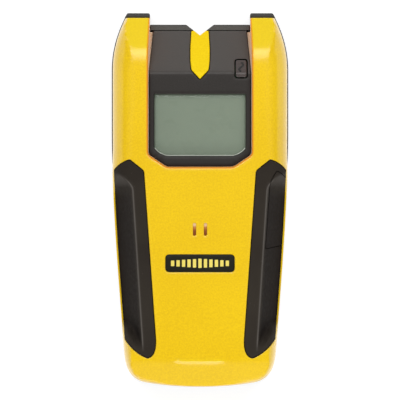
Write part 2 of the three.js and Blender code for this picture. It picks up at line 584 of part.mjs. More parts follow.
function batteryDoor() {
  const { halfWidth: w, endY, hingeY, hingeZ, barrel } = DOOR;
  const plate = box(-w, w, endY, hingeY, BACK_Z, FLOOR_Z);
  const knuckle = pinX(-w, w, hingeY, hingeZ, barrel, 16);
  const pins = pinX(-w - 1.9, w + 1.9, hingeY, hingeZ, DOOR.pin, 10);
  const { halfWidth: half, thickness, hook } = LATCH;
  const blade = box(-half, half, endY, endY + thickness, FLOOR_Z - 0.5, 5.2);
  const tooth = box(-half, half, endY - hook, endY + 0.2, 3.6, 5.0);
  const pitch = 1.8;
  const groove = (k) => box(-7, 7, endY + 3 + k * pitch, endY + 3.8 + k * pitch, -1, BACK_Z + 0.5);
  return cut(union(plate, knuckle, pins, blade, tooth), ...[0, 1, 2].map(groove));
}

// ---- Fasteners and skins ------------------------------------------------------------------------
// A screw from an axial profile: flat head, shaft and blunt tip, with a cross recess in the head.
function screw([x, y], { headZ, headR, headH, shaftR, tipZ }) {
  const profile = [v2(0, 0), v2(headR, 0), v2(headR, headH), v2(shaftR, headH)];
  profile.push(v2(shaftR, tipZ - headZ - 1), v2(shaftR * 0.4, tipZ - headZ), v2(0, tipZ - headZ));
  const body = solid(new THREE.LatheGeometry(profile, 10).rotateX(Math.PI / 2).translate(x, y, headZ));
  const [arm, half] = [headR * 0.6, 0.35];
  const slot = box(x - arm, x + arm, y - half, y + half, headZ - 1, headZ + 0.8);
  return cut(body, slot, box(x - half, x + half, y - arm, y + arm, headZ - 1, headZ + 0.8));
}

const HOUSING_SCREW = { headZ: 3.4, headR: 2.6, headH: 1.8, shaftR: 1.2, tipZ: 19 };
const BOARD_SCREW = { headZ: 21.5, headR: 1.9, headH: 1.3, shaftR: 0.85, tipZ: 30 };

const badgeOutline = (grow) =>
  rounded(0, BADGE.y, BADGE.width + 2 * grow, BADGE.height + 2 * grow, BADGE.radius + grow);
const badgePlate = () => prismZ(badgeOutline(0), FACE_Z - BADGE.sunk, FACE_Z + BADGE.proud);
const glidePad = ([x, y]) =>
  prismZ(rounded(x, y, PAD.width, PAD.length, PAD.width / 2), PAD_Z, PAD.thickness);

// ---- Assembly -----------------------------------------------------------------------------------
const blank = gripBlank();
node("front_housing", frontHousing(), YELLOW);
node("rear_housing", rearHousing(), BLACK);
node("display_panel", displayPanel(), CHARCOAL);
node("marking_insert", markingInsert(), YELLOW);
node("display_window", displayWindow(), CLEAR);
node("lcd_glass", lcdGlass(), LCD_GREY);
node("lcd_frame", lcdFrame(), CHARCOAL);
node("zebra_strip_upper", zebraStrip(1), RUBBER);
node("zebra_strip_lower", zebraStrip(-1), RUBBER);
node("warning_lens", warningLens(), SMOKE);
node("warning_led", warningLed(), SMOKE);
node("badge_plate", badgePlate(), ENAMEL);
node("grip_left", flipX(blank), RUBBER);
node("grip_right", blank.subtract(prismZ(buttonOutline(BUTTON_GAP), 0, ABOVE)), RUBBER);
node("scan_button", scanButton(blank), RUBBER);
node("button_carrier", buttonCarrier(), BLACK);
node("switch_body", switchBody(), CHIP);
node("switch_plunger", switchPlunger(), BLACK);
node("main_board", mainBoard(), GREEN);
node("sensor_board", sensorBoard(), GREEN);
[-16, 0, 16].forEach((x, k) => node(`sensor_plate_${k + 1}`, sensorPlate(x), COPPER));
node("board_link", boardLink(), CHIP);
node("controller_chip", controllerChip(), CHIP);
node("crystal", crystal(), TIN);
node("capacitor", capacitor(), CELL);
node("buzzer_disc", buzzerDisc(), BRASS);
node("buzzer_ceramic", buzzerCeramic(), CERAMIC);
node("buzzer_ring", buzzerRing(), FOAM);
node("battery_cell", batteryCell(), CELL);
node("battery_terminal_plus", terminal(TERMINALS.plusX, 2.8), TIN);
node("battery_terminal_minus", terminal(TERMINALS.minusX, 3.9), TIN);
node("battery_snap", batterySnap(), BLACK);
node("battery_foam", batteryFoam(), FOAM);
node("lead_red", lead(1), WIRE_RED);
node("lead_black", lead(-1), WIRE_BLACK);
node("battery_door", batteryDoor(), BLACK);
HOUSING_SCREWS.forEach((at, k) => node(`housing_screw_${k + 1}`, screw(at, HOUSING_SCREW), STEEL));
BOARD_SCREWS.forEach((at, k) => node(`board_screw_${k + 1}`, screw(at, BOARD_SCREW), STEEL));
PADS.forEach((at, k) => node(`glide_pad_${k + 1}`, glidePad(at), FELT));
node("rating_label", prismZ(rounded(0, 34, 40, 30, 2), 0.55, 0.75), PAPER);

export default group;
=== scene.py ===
"""Stud finder: the looks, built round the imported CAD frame.

Most visible pieces are sheets: a region of the plan is filled with fine triangles, lifted to a
height formula, given a rounded edge all round and closed with an underside. Lengths are in
millimetres until a mesh is made, and the axes are the frame's: +Z out of the display face.
"""
import math

import bpy
import numpy as np
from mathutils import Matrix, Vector
from mathutils.geometry import delaunay_2d_cdt


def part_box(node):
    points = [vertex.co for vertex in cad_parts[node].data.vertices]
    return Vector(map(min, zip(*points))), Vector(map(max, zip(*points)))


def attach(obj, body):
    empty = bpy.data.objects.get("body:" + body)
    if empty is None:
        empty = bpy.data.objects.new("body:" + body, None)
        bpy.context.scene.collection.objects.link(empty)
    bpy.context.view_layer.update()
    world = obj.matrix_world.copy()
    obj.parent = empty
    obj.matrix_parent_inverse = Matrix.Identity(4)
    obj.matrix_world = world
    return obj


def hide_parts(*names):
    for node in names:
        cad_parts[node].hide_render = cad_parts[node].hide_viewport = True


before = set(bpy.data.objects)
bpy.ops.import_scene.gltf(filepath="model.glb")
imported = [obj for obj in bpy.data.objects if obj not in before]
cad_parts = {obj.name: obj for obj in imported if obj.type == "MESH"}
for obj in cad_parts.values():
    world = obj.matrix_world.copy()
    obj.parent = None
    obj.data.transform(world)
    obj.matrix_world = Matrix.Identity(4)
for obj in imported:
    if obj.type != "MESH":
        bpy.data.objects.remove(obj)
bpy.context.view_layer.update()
MM = 0.001


def cad(node):
    """A CAD node's lowest and highest corner, in millimetres."""
    low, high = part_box(node)
    return np.array(low) / MM, np.array(high) / MM


# ---- Driving dimensions, from the frame where it gives them ---------------------------------------
REAR_LOW, REAR_HIGH = cad("rear_housing")
FRONT_LOW, FRONT_HIGH = cad("front_housing")
_, PANEL_HIGH = cad("display_panel")
WINDOW_LOW, WINDOW_HIGH = cad("display_window")
BADGE_LOW, BADGE_HIGH = cad("badge_plate")
LENS_LOW, LENS_HIGH = cad("warning_lens")

HALF_LENGTH = REAR_HIGH[1]
SHOULDER_X = REAR_HIGH[0]
BACK_Z = REAR_LOW[2]
FACE_Z = FRONT_HIGH[2]
EAR_END_Y = FRONT_HIGH[1]
PANEL_Z = PANEL_HIGH[2]
PANEL_END_Y = PANEL_HIGH[1]
PANEL_HALF = 21.9
GAP = 0.3  # between the panel's parts and round the door
HALF_GAP = 0.15
SPLIT_Z = FRONT_LOW[2] - HALF_GAP
FAR_Y = 95.0  # past every piece, for cuts that run out at the ears
ROLL_Z = 21.0
ROLL_REACH = 9.5
LIP_Z = 12.5
EAR_INNER_X = 21.7
RIM_Y = 75.8
EAR_GAP_Y = 72.4
NOTCH_HALF, NOTCH_Y = 5.95, 71.1
CREASE_Y = 54.8
PANEL_END_Z = 18.5
EAR_END_Z = 28.7
SLOPE = (PANEL_Z - PANEL_END_Z) / (PANEL_END_Y - CREASE_Y)
DRAFT = 0.12  # lean of the display opening's walls
GRIP_RIM = 0.95  # housing rim outside the rubber
HOUSING_SKIN = 2.0
PANEL_SKIN = 3.2
GRIP_SKIN = 1.8
CHIN_RIDGE_Y = -69.3
STEP_OFFSET = 0.03  # from a step to the guides on its two sides


# ---- Plan curves -----------------------------------------------------------------------------------
def curve(*controls, steps=16):
    """Points along a Bezier curve with any number of control points."""
    t = np.linspace(0, 1, steps + 1)[:, None]
    n = len(controls) - 1
    weights = [math.comb(n, k) * (1 - t) ** (n - k) * t**k for k in range(n + 1)]
    return sum(w * np.array(p, float) for w, p in zip(weights, controls))


def chain(*runs):
    """Runs of points joined end to end, without the repeated points."""
    points = np.vstack([np.atleast_2d(np.array(r, float)) for r in runs])
    keep = np.r_[True, np.linalg.norm(np.diff(points, axis=0), axis=1) > 1e-6]
    return points[keep]


def mirrored(points):
    """The points on the other side, in the order that carries a loop on."""
    return (points * [-1, 1])[::-1]


def past(y, half=50.0):
    """Everything within half of the middle line and past y, as a loop."""
    return np.array([(-half, y), (half, y), (half, FAR_Y), (-half, FAR_Y)], float)


def dense(loop, step):
    """The closed loop with points no further apart than step."""
    out = []
    for a, b in zip(loop, np.roll(loop, -1, axis=0)):
        n = max(1, math.ceil(np.linalg.norm(b - a) / step))
        out += [a + (b - a) * k / n for k in range(n)]
    return np.array(out)


def inset(loop, d):
    """A counter-clockwise loop moved inwards by d, a number or one number for each point."""
    before = loop - np.roll(loop, 1, axis=0)
    after = np.roll(loop, -1, axis=0) - loop
    na = np.stack([-before[:, 1], before[:, 0]], 1)
    nb = np.stack([-after[:, 1], after[:, 0]], 1)
    na /= np.linalg.norm(na, axis=1, keepdims=True)
    nb /= np.linalg.norm(nb, axis=1, keepdims=True)
    mitre = (na + nb) / np.maximum(0.35, 1 + (na * nb).sum(1))[:, None]
    return loop + mitre * (np.broadcast_to(d, len(loop))[:, None])


def soften(loop, r, steps=5):
    """The loop with its corners replaced by curves that start r before each corner."""
    out = []
    n = len(loop)
    for i in range(n):
        p = loop[i]
        a, b = loop[i - 1] - p, loop[(i + 1) % n] - p
        la, lb = np.linalg.norm(a), np.linalg.norm(b)
        cut = min(r, la * 0.45, lb * 0.45)
        out.append(curve(p + a / la * cut, p, p + b / lb * cut, steps=steps))
    return chain(*out)


def rounded_box(x0, x1, y0, y1, r, steps=6):
    return soften(np.array([[x0, y0], [x1, y0], [x1, y1], [x0, y1]], float), r, steps)


def circle(x, y, r, n=40):
    """A round loop of n points."""
    a = np.linspace(0, 2 * math.pi, n, endpoint=False)
    return np.stack([x + r * np.cos(a), y + r * np.sin(a)], 1)


def inside(points, loop):
    """Which points lie inside a closed loop."""
    result = np.zeros(len(points), bool)
    x, y = points[:, 0], points[:, 1]
    for (ax, ay), (bx, by) in zip(loop, np.roll(loop, -1, axis=0)):
        if ay == by:
            continue
        crosses = (ay > y) != (by > y)
        result ^= crosses & (x < (bx - ax) * (y - ay) / (by - ay) + ax)
    return result


def distance(points, starts, ends):
    """Each point's distance to the nearest of many line segments."""
    best = np.full(len(points), np.inf)
    run = ends - starts
    length2 = np.maximum((run**2).sum(1), 1e-12)
    for k in range(0, len(points), 1500):
        p = points[k : k + 1500, None, :]
        t = np.clip(((p - starts) * run).sum(2) / length2, 0, 1)
        d = np.linalg.norm(p - (starts + t[..., None] * run), axis=2)
        best[k : k + 1500] = d.min(1)
    return best


def depth(points, loop):
    """How far inside the loop each point is; negative outside."""
    d = distance(points, loop, np.roll(loop, -1, axis=0))
    return np.where(inside(points, loop), d, -d)


def smooth(a, b, x):
    """From 0 at a to 1 at b, level at both ends."""
    t = np.clip((x - a) / (b - a), 0, 1)
    return t * t * (3 - 2 * t)


def soft_min(a, b, k):
    """The lower of two heights, with the crease between them rounded over a height k."""
    h = np.clip(0.5 + 0.5 * (b - a) / k, 0, 1)
    return b * (1 - h) + a * h - k * h * (1 - h)


# ---- Sheets ----------------------------------------------------------------------------------------
def mesh_object(name, points, faces, flip=False):
    """An object from points in millimetres, smooth except at its sharp edges."""
    mesh = bpy.data.meshes.new(name)
    points = np.array(points, float) * MM
    if flip:
        faces = [tuple(reversed(f)) for f in faces]
    mesh.from_pydata([tuple(p) for p in points], [], faces)
    mesh.validate()
    mesh.polygons.foreach_set("use_smooth", [True] * len(mesh.polygons))
    mesh.set_sharp_from_angle(angle=math.radians(38))
    obj = bpy.data.objects.new(name, mesh)
    bpy.context.collection.objects.link(obj)
    return obj


def rounding(d, r):
    """How far a rounded edge of radius r lies below the surface at a distance d from the rim."""
    if r <= 0:
        return np.zeros(len(d))
    inward = r - np.clip(d, 0, r)
    return r - np.sqrt(np.maximum(r**2 - inward**2, 0))


def both_sides(loops):
    """Each loop twice, just inside and just outside, for a surface that steps there."""
    return [inset(loop, side * STEP_OFFSET) for loop in loops for side in (1, -1)]


def heights(surface, plan, d):
    """A surface's height at each point of the plan; surface is a number or a function of plan and d."""
    return surface(plan, d) if callable(surface) else np.full(len(plan), float(surface))


def sheet(
    name, loops, keep, top, under, spacing=1.5, edge=0.25, back_edge=0.0,
    guides=(), upward=1, mirror=False, tone=None,
):
    """A closed piece over the plan region that keep() accepts.

    loops are the closed curves that bound the region and guides are more that the triangles follow.
    top and under are the heights of the outer and the inner face, as numbers or as functions of the
    points and their distances to the rim. edge and back_edge are the radii of their rounded edges.
    upward is -1 for a piece whose outer face looks down. tone gives each point's painted light, from -1,
    painted shade, to 1, painted highlight, which the material reads.
    """
    loops = [dense(loop, spacing * 0.6) for loop in loops]
    steps = [side * edge * share for side in (1, -1) for share in (0.08, 0.35, 1.0)]
    rings = [inset(loop, step) for loop in loops for step in steps]
    curves = loops + [dense(g, spacing) for g in guides] + rings
    points, edges = [], []
    for c in curves:
        n = len(points)
        points += [Vector(p) for p in c]
        edges += [(n + i, n + (i + 1) % len(c)) for i in range(len(c))]
    everything = np.vstack(loops)
    low, high = everything.min(0), everything.max(0)
    rows = np.arange(low[1], high[1], spacing * 0.87)
    columns = np.arange(low[0], high[0], spacing)
    grid = np.array([(x + (i % 2) * spacing / 2, y) for i, y in enumerate(rows) for x in columns])
    grid = grid[keep(grid)] if len(grid) else grid
    lines = np.vstack([np.hstack([c, np.roll(c, -1, axis=0)]) for c in curves])
    if len(grid):
        clear = distance(grid, lines[:, :2], lines[:, 2:]) > spacing * 0.3
        points += [Vector(p) for p in grid[clear]]
    plan, _, faces, _, _, _ = delaunay_2d_cdt(points, edges, [], 0, 1e-4)
    plan = np.array([(p.x, p.y) for p in plan])
    faces = np.array([f for f in faces if len(f) == 3])
    faces = faces[keep(plan[faces].mean(1))]
    used = np.unique(faces)
    renumber = np.full(len(plan), -1)
    renumber[used] = np.arange(len(used))
    plan, faces = plan[used], renumber[faces]
    sides = {}
    for a, b, c in faces:
        for e in ((a, b), (b, c), (c, a)):
            if (e[1], e[0]) in sides:
                del sides[(e[1], e[0])]
            else:
                sides[e] = True
    rim = np.array(list(sides))
    d = distance(plan, plan[rim[:, 0]], plan[rim[:, 1]])
    n = len(plan)
    z_top = heights(top, plan, d) - upward * rounding(d, edge)
    z_under = heights(under, plan, d) + upward * rounding(d, back_edge)
    solid = np.vstack([np.column_stack([plan, z_top]), np.column_stack([plan, z_under])])
    if mirror:
        solid[:, 0] *= -1
    tris = [tuple(f) for f in faces]
    tris += [(c + n, b + n, a + n) for a, b, c in faces]
    tris += [(b, a, a + n, b + n) for a, b in sides]
    obj = mesh_object(name, solid, tris, flip=(upward < 0) != mirror)
    # The tone is painted light, kept as a point attribute for the material: below 0 painted shade, above 0
    # painted highlight.
    if tone and len(obj.data.vertices) == 2 * n:
        painted_light = obj.data.attributes.new("painted_light", "FLOAT", "POINT")
        painted_light.data.foreach_set("value", np.tile(tone(plan), 2).astype(np.float32))
    return obj


# ---- Body form -------------------------------------------------------------------------------------
def body_outline():
    right = chain(
        curve((0, -HALF_LENGTH), (13, -HALF_LENGTH), (23.5, -78.9), steps=14),
        curve((23.5, -78.9), (29.8, -77.6), (32.2, -73), (32.8, -65.5), steps=18),
        curve((32.8, -65.5), (35.0, -38), (38.0, -4), (SHOULDER_X, 28), steps=30),
        curve((SHOULDER_X, 56), (SHOULDER_X, 66), (35, 74.2), (31.9, HALF_LENGTH - 0.8), steps=24),
        curve((31.9, HALF_LENGTH - 0.8), (31.6, HALF_LENGTH), (30.9, HALF_LENGTH), steps=5),
    )
    return chain(right, mirrored(right[1:]))


OUTLINE = body_outline()


def side_x(y):
    """Half width of the body at y."""
    right = OUTLINE[OUTLINE[:, 0] > 1]
    right = right[np.argsort(right[:, 1])]
    return np.interp(y, right[:, 1], right[:, 0])


def front_step(y):
    """How far the front housing stands back from the outline, so that the rear one shows."""
    return 0.55 * smooth(8, 24, y) + 0.2 * smooth(-72, -80, y)


def rear_step(y):
    """How far the rear housing stands back from the outline, by the chin and the handle."""
    return 0.4 * smooth(-80, -72, y) * (1 - smooth(5, 20, y))


def roll_reach(y):
    """Width of the roll from side to face: tight at the chin and the ear tips, broad at the shoulders."""
    chin = 5 * smooth(-50, -74, y) + 2.3 * smooth(-77.5, -80.2, y)
    return ROLL_REACH - chin + 1.5 * smooth(22, 45, y) - 5.5 * smooth(66, 80, y)


CHIN_SLOPE = 4.6 / 14.5
EAR_SLOPE = 0.44
FACE_PROFILE = chain(
    [(-90, 29.6 - 7 * CHIN_SLOPE), (-83, 29.6)],
    curve((-68.5, 34.2), (-50, FACE_Z), (-20, FACE_Z)),
    curve((57, FACE_Z), (62.9, FACE_Z), (66, 34.15)),
    [(EAR_END_Y, EAR_END_Z), (90, EAR_END_Z - (90 - EAR_END_Y) * EAR_SLOPE)],
)


def face_z(y):
    """Height of the front face along the tool, its creases slightly softened."""
    shifts = (-0.8, -0.4, 0, 0.4, 0.8)
    return sum(np.interp(y + s, FACE_PROFILE[:, 0], FACE_PROFILE[:, 1]) for s in shifts) / len(shifts)


def roll_z(p):
    """Height of the side as it rolls over towards the face."""
    y = p[:, 1]
    e = np.maximum(depth(p, OUTLINE) - front_step(y), 0)
    level = np.clip(1 - e / roll_reach(y), 0, 1)
    return ROLL_Z + (FACE_Z + 0.4 - ROLL_Z) * np.sqrt(1 - level**2)


def chin_ridge(p, width=0.8):
    """A small raised line across the chin, from 0 beside it to 1 on its top."""
    return np.exp(-(((p[:, 1] - CHIN_RIDGE_Y) / width) ** 2)) * (1 - smooth(8.0, 12.0, np.abs(p[:, 0])))


def body_z(p):
    """Height of the front housing's outer form."""
    return soft_min(roll_z(p), face_z(p[:, 1]), 0.5) + 0.22 * chin_ridge(p)


# ---- Display opening and panel ---------------------------------------------------------------------
def opening_loop():
    right = np.array([(14.2, 14.6), (PANEL_HALF, 19.75), (PANEL_HALF, FAR_Y)])
    return soften(chain(right, mirrored(right)), 1.2)


OPENING = opening_loop()


def panel_z(y):
    """Height of the display panel's face: level by the window, then down towards the notch."""
    return soft_min(np.full(np.shape(y), PANEL_Z), PANEL_Z - SLOPE * (y - CREASE_Y), 0.5)


def window_loop(grow=0.0):
    w = WINDOW_HIGH[0] + HALF_GAP
    top, bottom = WINDOW_HIGH[1] + HALF_GAP, WINDOW_LOW[1] - HALF_GAP
    right = chain(curve((w - 5.4, bottom), (w - 1.5, bottom + 1.0), (w, bottom + 3.6), steps=8), [(w, top)])
    return inset(soften(chain(right, mirrored(right)), 0.35, 3), -grow)


def insert_loop(grow=0.0):
    right = np.array([(0, 51.95), (3.7, 56.0), (4.15, 60), (4.15, 66), (3.7, PANEL_END_Y)])
    return inset(soften(chain(right, mirrored(right[1:])), 0.6), -grow)


def notch_loop(grow=0.0):
    k = NOTCH_HALF / (RIM_Y - NOTCH_Y)
    top = 90
    half = k * (top - NOTCH_Y)
    return inset(np.array([(0, NOTCH_Y), (half, top), (-half, top)], float), -grow)


def lens_loop(grow=0.0):
    (x0, y0), (x1, y1) = LENS_LOW[:2], LENS_HIGH[:2]
    return inset(rounded_box(x0, x1, y0, y1, 0.9), -grow)


def badge_loop(grow=0.0):
    (x0, y0), (x1, y1) = BADGE_LOW[:2], BADGE_HIGH[:2]
    return inset(rounded_box(x0, x1, y0, y1, 1.6), -grow)


def slot_loop(x):
    half = 0.65
    return rounded_box(x - half, x + half, -15.3, -9.9, half)


# ---- Grips -----------------------------------------------------------------------------------------
def grip_wide_loop():
    """The right grip in plan, as if it ran out past the side of the body."""
    points = chain(
        curve((33.2, -58.6), (29.0, -65.5), (22.6, -68.0), steps=14),
        curve((22.6, -68.0), (18.9, -67.4), (19.0, -60.5), steps=12),
        [(24.15, 12.6), (30.2, 17.4)],
        curve((30.2, 17.4), (33.0, 16.6), (36.6, 14.8), (38.4, 10.4), steps=8),
        [(46, 0), (46, -55.2)],
    )
    return soften(points[::-1], 1.0, 4)


GRIP_WIDE = grip_wide_loop()
RIDGE_TOP = (29.05, 7.2)
SCOOP_POWER = 1.25


def ridge_x(y):
    """Crest between the grip's face and its finger scoop."""
    return RIDGE_TOP[0] + (y - RIDGE_TOP[1]) / 67.4 * 4.3


def scoop_edges(y):
    """Where the finger scoop starts, on the ridge, and where it ends, at the housing's rim."""
    inner = ridge_x(y) + 5.2 * smooth(3.5, 12.5, y) ** 1.5
    return inner, np.maximum(side_x(y) - GRIP_RIM, inner + 2)


def scoop_share(p):
    """How far the scoop has sunk in, from 0 at its two ends to 1 along its length."""
    y = p[:, 1]
    tail = np.where(y < -50, smooth(1.6, 6.5, depth(p, GRIP_WIDE)), 1.0)
    return tail * (1 - smooth(0.5, 13.0, y))


def grip_z(p):
    """Height of the right grip: the body's form, with the finger scoop pressed into its outer side."""
    form = body_z(p)
    inner, outer = scoop_edges(p[:, 1])
    u = np.clip((p[:, 0] - inner) / (outer - inner), 0, 1)
    wall = LIP_Z + 0.6 + (FACE_Z - 0.4 - LIP_Z) * (1 - u) ** SCOOP_POWER
    scooped = soft_min(form, wall, 0.5)
    return form + (scooped - form) * scoop_share(p)


def grip_painted_light(p):
    """Painted highlight along the ridge, painted shade down in the scoop, and painted light again at the
    scoop's top.
    """
    y = p[:, 1]
    inner, _ = scoop_edges(y)
    out = p[:, 0] - inner
    ridge_highlight = np.exp(-((out / 0.32) ** 2)) * smooth(-66, -60, y) * (1 - smooth(6, 12, y))
    scoop_shade = smooth(0.2, 1.2, out) * scoop_share(p) ** 2
    glow = smooth(-8, 8, y) * (1 - smooth(10, 12, y)) * smooth(0.0, 1.0, out)
    return np.clip(0.75 * ridge_highlight - 0.8 * scoop_shade + 0.35 * glow, -1, 1)


KEY_GAP = 0.26
KEY_LEAN = 0.04


def key_loop(grow=0.0, lean=0.0):
    """The scan key in plan: from just outside the ridge out past the side, between its two seams.

    lean moves its edge along the ridge towards the ridge.
    """
    points = chain(
        [(47, -17.4), (47, -2), (36.9, 9.3)],
        curve((36.9, 9.3), (35.4, 11.2), (33.2, 12.3), steps=5),
        curve((33.2, 12.3), (31.6 - lean, 10.6), (30.2 - lean, 6.4), steps=8),
        [(ridge_x(-20.9) + 1.0 - lean, -20.9)],
    )
    return inset(soften(points, 0.35, 3), -grow)


def folded(p):
    """Points of either side brought to the right."""
    return np.column_stack([np.abs(p[:, 0]), p[:, 1]])


def in_grip(p, grow=0.0):
    """Whether each point is in the rubber's plan, on either side."""
    q = folded(p)
    return inside(q, inset(GRIP_WIDE, -grow)) & (depth(q, OUTLINE) > GRIP_RIM - grow)


# ---- Materials -------------------------------------------------------------------------------------
def linear(r, g, b):
    """An 8-bit display colour as the linear colour that shaders take."""

    def channel(c):
        return ((c / 255 + 0.055) / 1.055) ** 2.4 if c > 10 else c / 255 / 12.92

    return (channel(r), channel(g), channel(b), 1.0)


class Nodes:
    """A material's node tree with short calls for the nodes used here."""

    def __init__(self, name):
        self.material = bpy.data.materials.new(name)
        self.material.use_nodes = True
        self.tree = self.material.node_tree
        self.shader = self.tree.nodes["Principled BSDF"]
        self.place = self.add("ShaderNodeTexCoord").outputs["Object"]

    def add(self, kind, **values):
        node = self.tree.nodes.new(kind)
        for key, value in values.items():
            setattr(node, key, value)
        return node

    def link(self, a, b):
        self.tree.links.new(a, b)

    def noise(self, scale, detail=3.0, rough=0.5, stretch=None):
        node = self.add("ShaderNodeTexNoise")
        node.inputs["Scale"].default_value = scale
        node.inputs["Detail"].default_value = detail
        node.inputs["Roughness"].default_value = rough
        source = self.place
        if stretch:
            mapping = self.add("ShaderNodeMapping")
            mapping.inputs["Scale"].default_value = stretch
            self.link(source, mapping.inputs["Vector"])
            source = mapping.outputs["Vector"]
        self.link(source, node.inputs["Vector"])
        return node.outputs["Fac"]

    def ramp(self, value, stops):
        node = self.add("ShaderNodeValToRGB")
        first, last = node.color_ramp.elements
        first.position, first.color = stops[0]
        last.position, last.color = stops[-1]
        for position, color in stops[1:-1]:
            node.color_ramp.elements.new(position).color = color
        self.link(value, node.inputs["Fac"])
        return node.outputs["Color"]

    def span(self, value, low, high, from_low=0.3, from_high=0.7):
        node = self.add("ShaderNodeMapRange")
        node.inputs["From Min"].default_value = from_low
        node.inputs["From Max"].default_value = from_high
        node.inputs["To Min"].default_value = low
        node.inputs["To Max"].default_value = high
        self.link(value, node.inputs["Value"])
        return node.outputs["Result"]

    def bump(self, height, strength, depth_mm):
        node = self.add("ShaderNodeBump")
        node.inputs["Strength"].default_value = strength
        node.inputs["Distance"].default_value = depth_mm * MM
        self.link(height, node.inputs["Height"])
        self.link(node.outputs["Normal"], self.shader.inputs["Normal"])

    def set(self, **values):
        for key, value in values.items():
            self.shader.inputs[key.replace("_", " ")].default_value = value


def moulded(
    name, dark, light, roughness, grain, depth_mm, strength=0.35, specks=None, shade_and_highlight=None, mottle=0, **values
):
    """Moulded plastic or rubber: a faint drift of colour, a fine grain and uneven gloss.

    specks is the colour of scattered dust, the pair of colours after it painted shade and painted highlight,
    which a piece's tone attribute mixes in, and mottle the scale of a fine unevenness in the colour.
    """
    nodes = Nodes(name)
    drift = nodes.noise(28, 3)
    if mottle:
        mix = nodes.add("ShaderNodeMix", data_type="FLOAT")
        mix.inputs["Factor"].default_value = 0.7
        nodes.link(drift, mix.inputs["A"])
        nodes.link(nodes.noise(mottle, 2, 0.7), mix.inputs["B"])
        drift = mix.outputs["Result"]
    color = nodes.ramp(drift, [(0.38, linear(*dark)), (0.62, linear(*light))])
    if specks:
        spots = nodes.noise(900, 1.0)
        mask = nodes.span(spots, 0.0, 0.5, 0.74, 0.80)
        mix = nodes.add("ShaderNodeMix", data_type="RGBA")
        nodes.link(mask, mix.inputs["Factor"])
        nodes.link(color, mix.inputs["A"])
        mix.inputs["B"].default_value = linear(*specks)
        color = mix.outputs["Result"]
    # Painted shade and painted highlight: the pair of colours mixed in by the point attribute that a sheet's
    # tone fills.
    if shade_and_highlight:
        painted_light = nodes.add("ShaderNodeAttribute", attribute_name="painted_light").outputs["Fac"]
        for shade, low, high in ((shade_and_highlight[0], 0.0, -1.0), (shade_and_highlight[1], 0.0, 1.0)):
            mix = nodes.add("ShaderNodeMix", data_type="RGBA")
            nodes.link(nodes.span(painted_light, 0.0, 1.0, low, high), mix.inputs["Factor"])
            nodes.link(color, mix.inputs["A"])
            mix.inputs["B"].default_value = linear(*shade)
            color = mix.outputs["Result"]
    nodes.link(color, nodes.shader.inputs["Base Color"])
    nodes.bump(nodes.noise(grain, 2.5, 0.6), strength, depth_mm)
    gloss = nodes.span(nodes.noise(grain * 0.35, 2), roughness[0], roughness[1])
    nodes.link(gloss, nodes.shader.inputs["Roughness"])
    nodes.set(**values)
    return nodes.material


def metal(name, dark, light, roughness, brush=(1, 1, 1), grain=1400):
    """Bare metal with a drift of colour and fine brush lines, stretched by brush."""
    nodes = Nodes(name)
    nodes.link(
        nodes.ramp(nodes.noise(120, 3), [(0.3, linear(*dark)), (0.7, linear(*light))]),
        nodes.shader.inputs["Base Color"],
    )
    lines = nodes.noise(grain, 3, 0.6, stretch=brush)
    nodes.link(nodes.span(lines, roughness[0], roughness[1]), nodes.shader.inputs["Roughness"])
    nodes.bump(lines, 0.2, 0.02)
    nodes.set(Metallic=1.0)
    return nodes.material


def clear(name, color, alpha):
    """Clear plastic with a faintly uneven gloss."""
    nodes = Nodes(name)
    nodes.set(Base_Color=linear(*color), Alpha=alpha, IOR=1.5)
    nodes.link(nodes.span(nodes.noise(90, 2), 0.04, 0.09), nodes.shader.inputs["Roughness"])
    return nodes.material


def slot_shade_look():
    """Painted shade, brown, down in the sound slots, and painted light, paler, towards their upper ends."""
    nodes = Nodes("slot_floor")
    parts = nodes.add("ShaderNodeSeparateXYZ")
    nodes.link(nodes.place, parts.inputs["Vector"])
    along = nodes.span(parts.outputs["Y"], 0.0, 1.0, -14.2 * MM, -10.2 * MM)
    stops = [(0.25, linear(150, 84, 26)), (0.6, linear(190, 130, 62)), (0.9, linear(238, 214, 176))]
    nodes.link(nodes.ramp(along, stops), nodes.shader.inputs["Base Color"])
    nodes.bump(nodes.noise(1500, 2), 0.3, 0.02)
    nodes.set(Roughness=0.5)
    return nodes.material
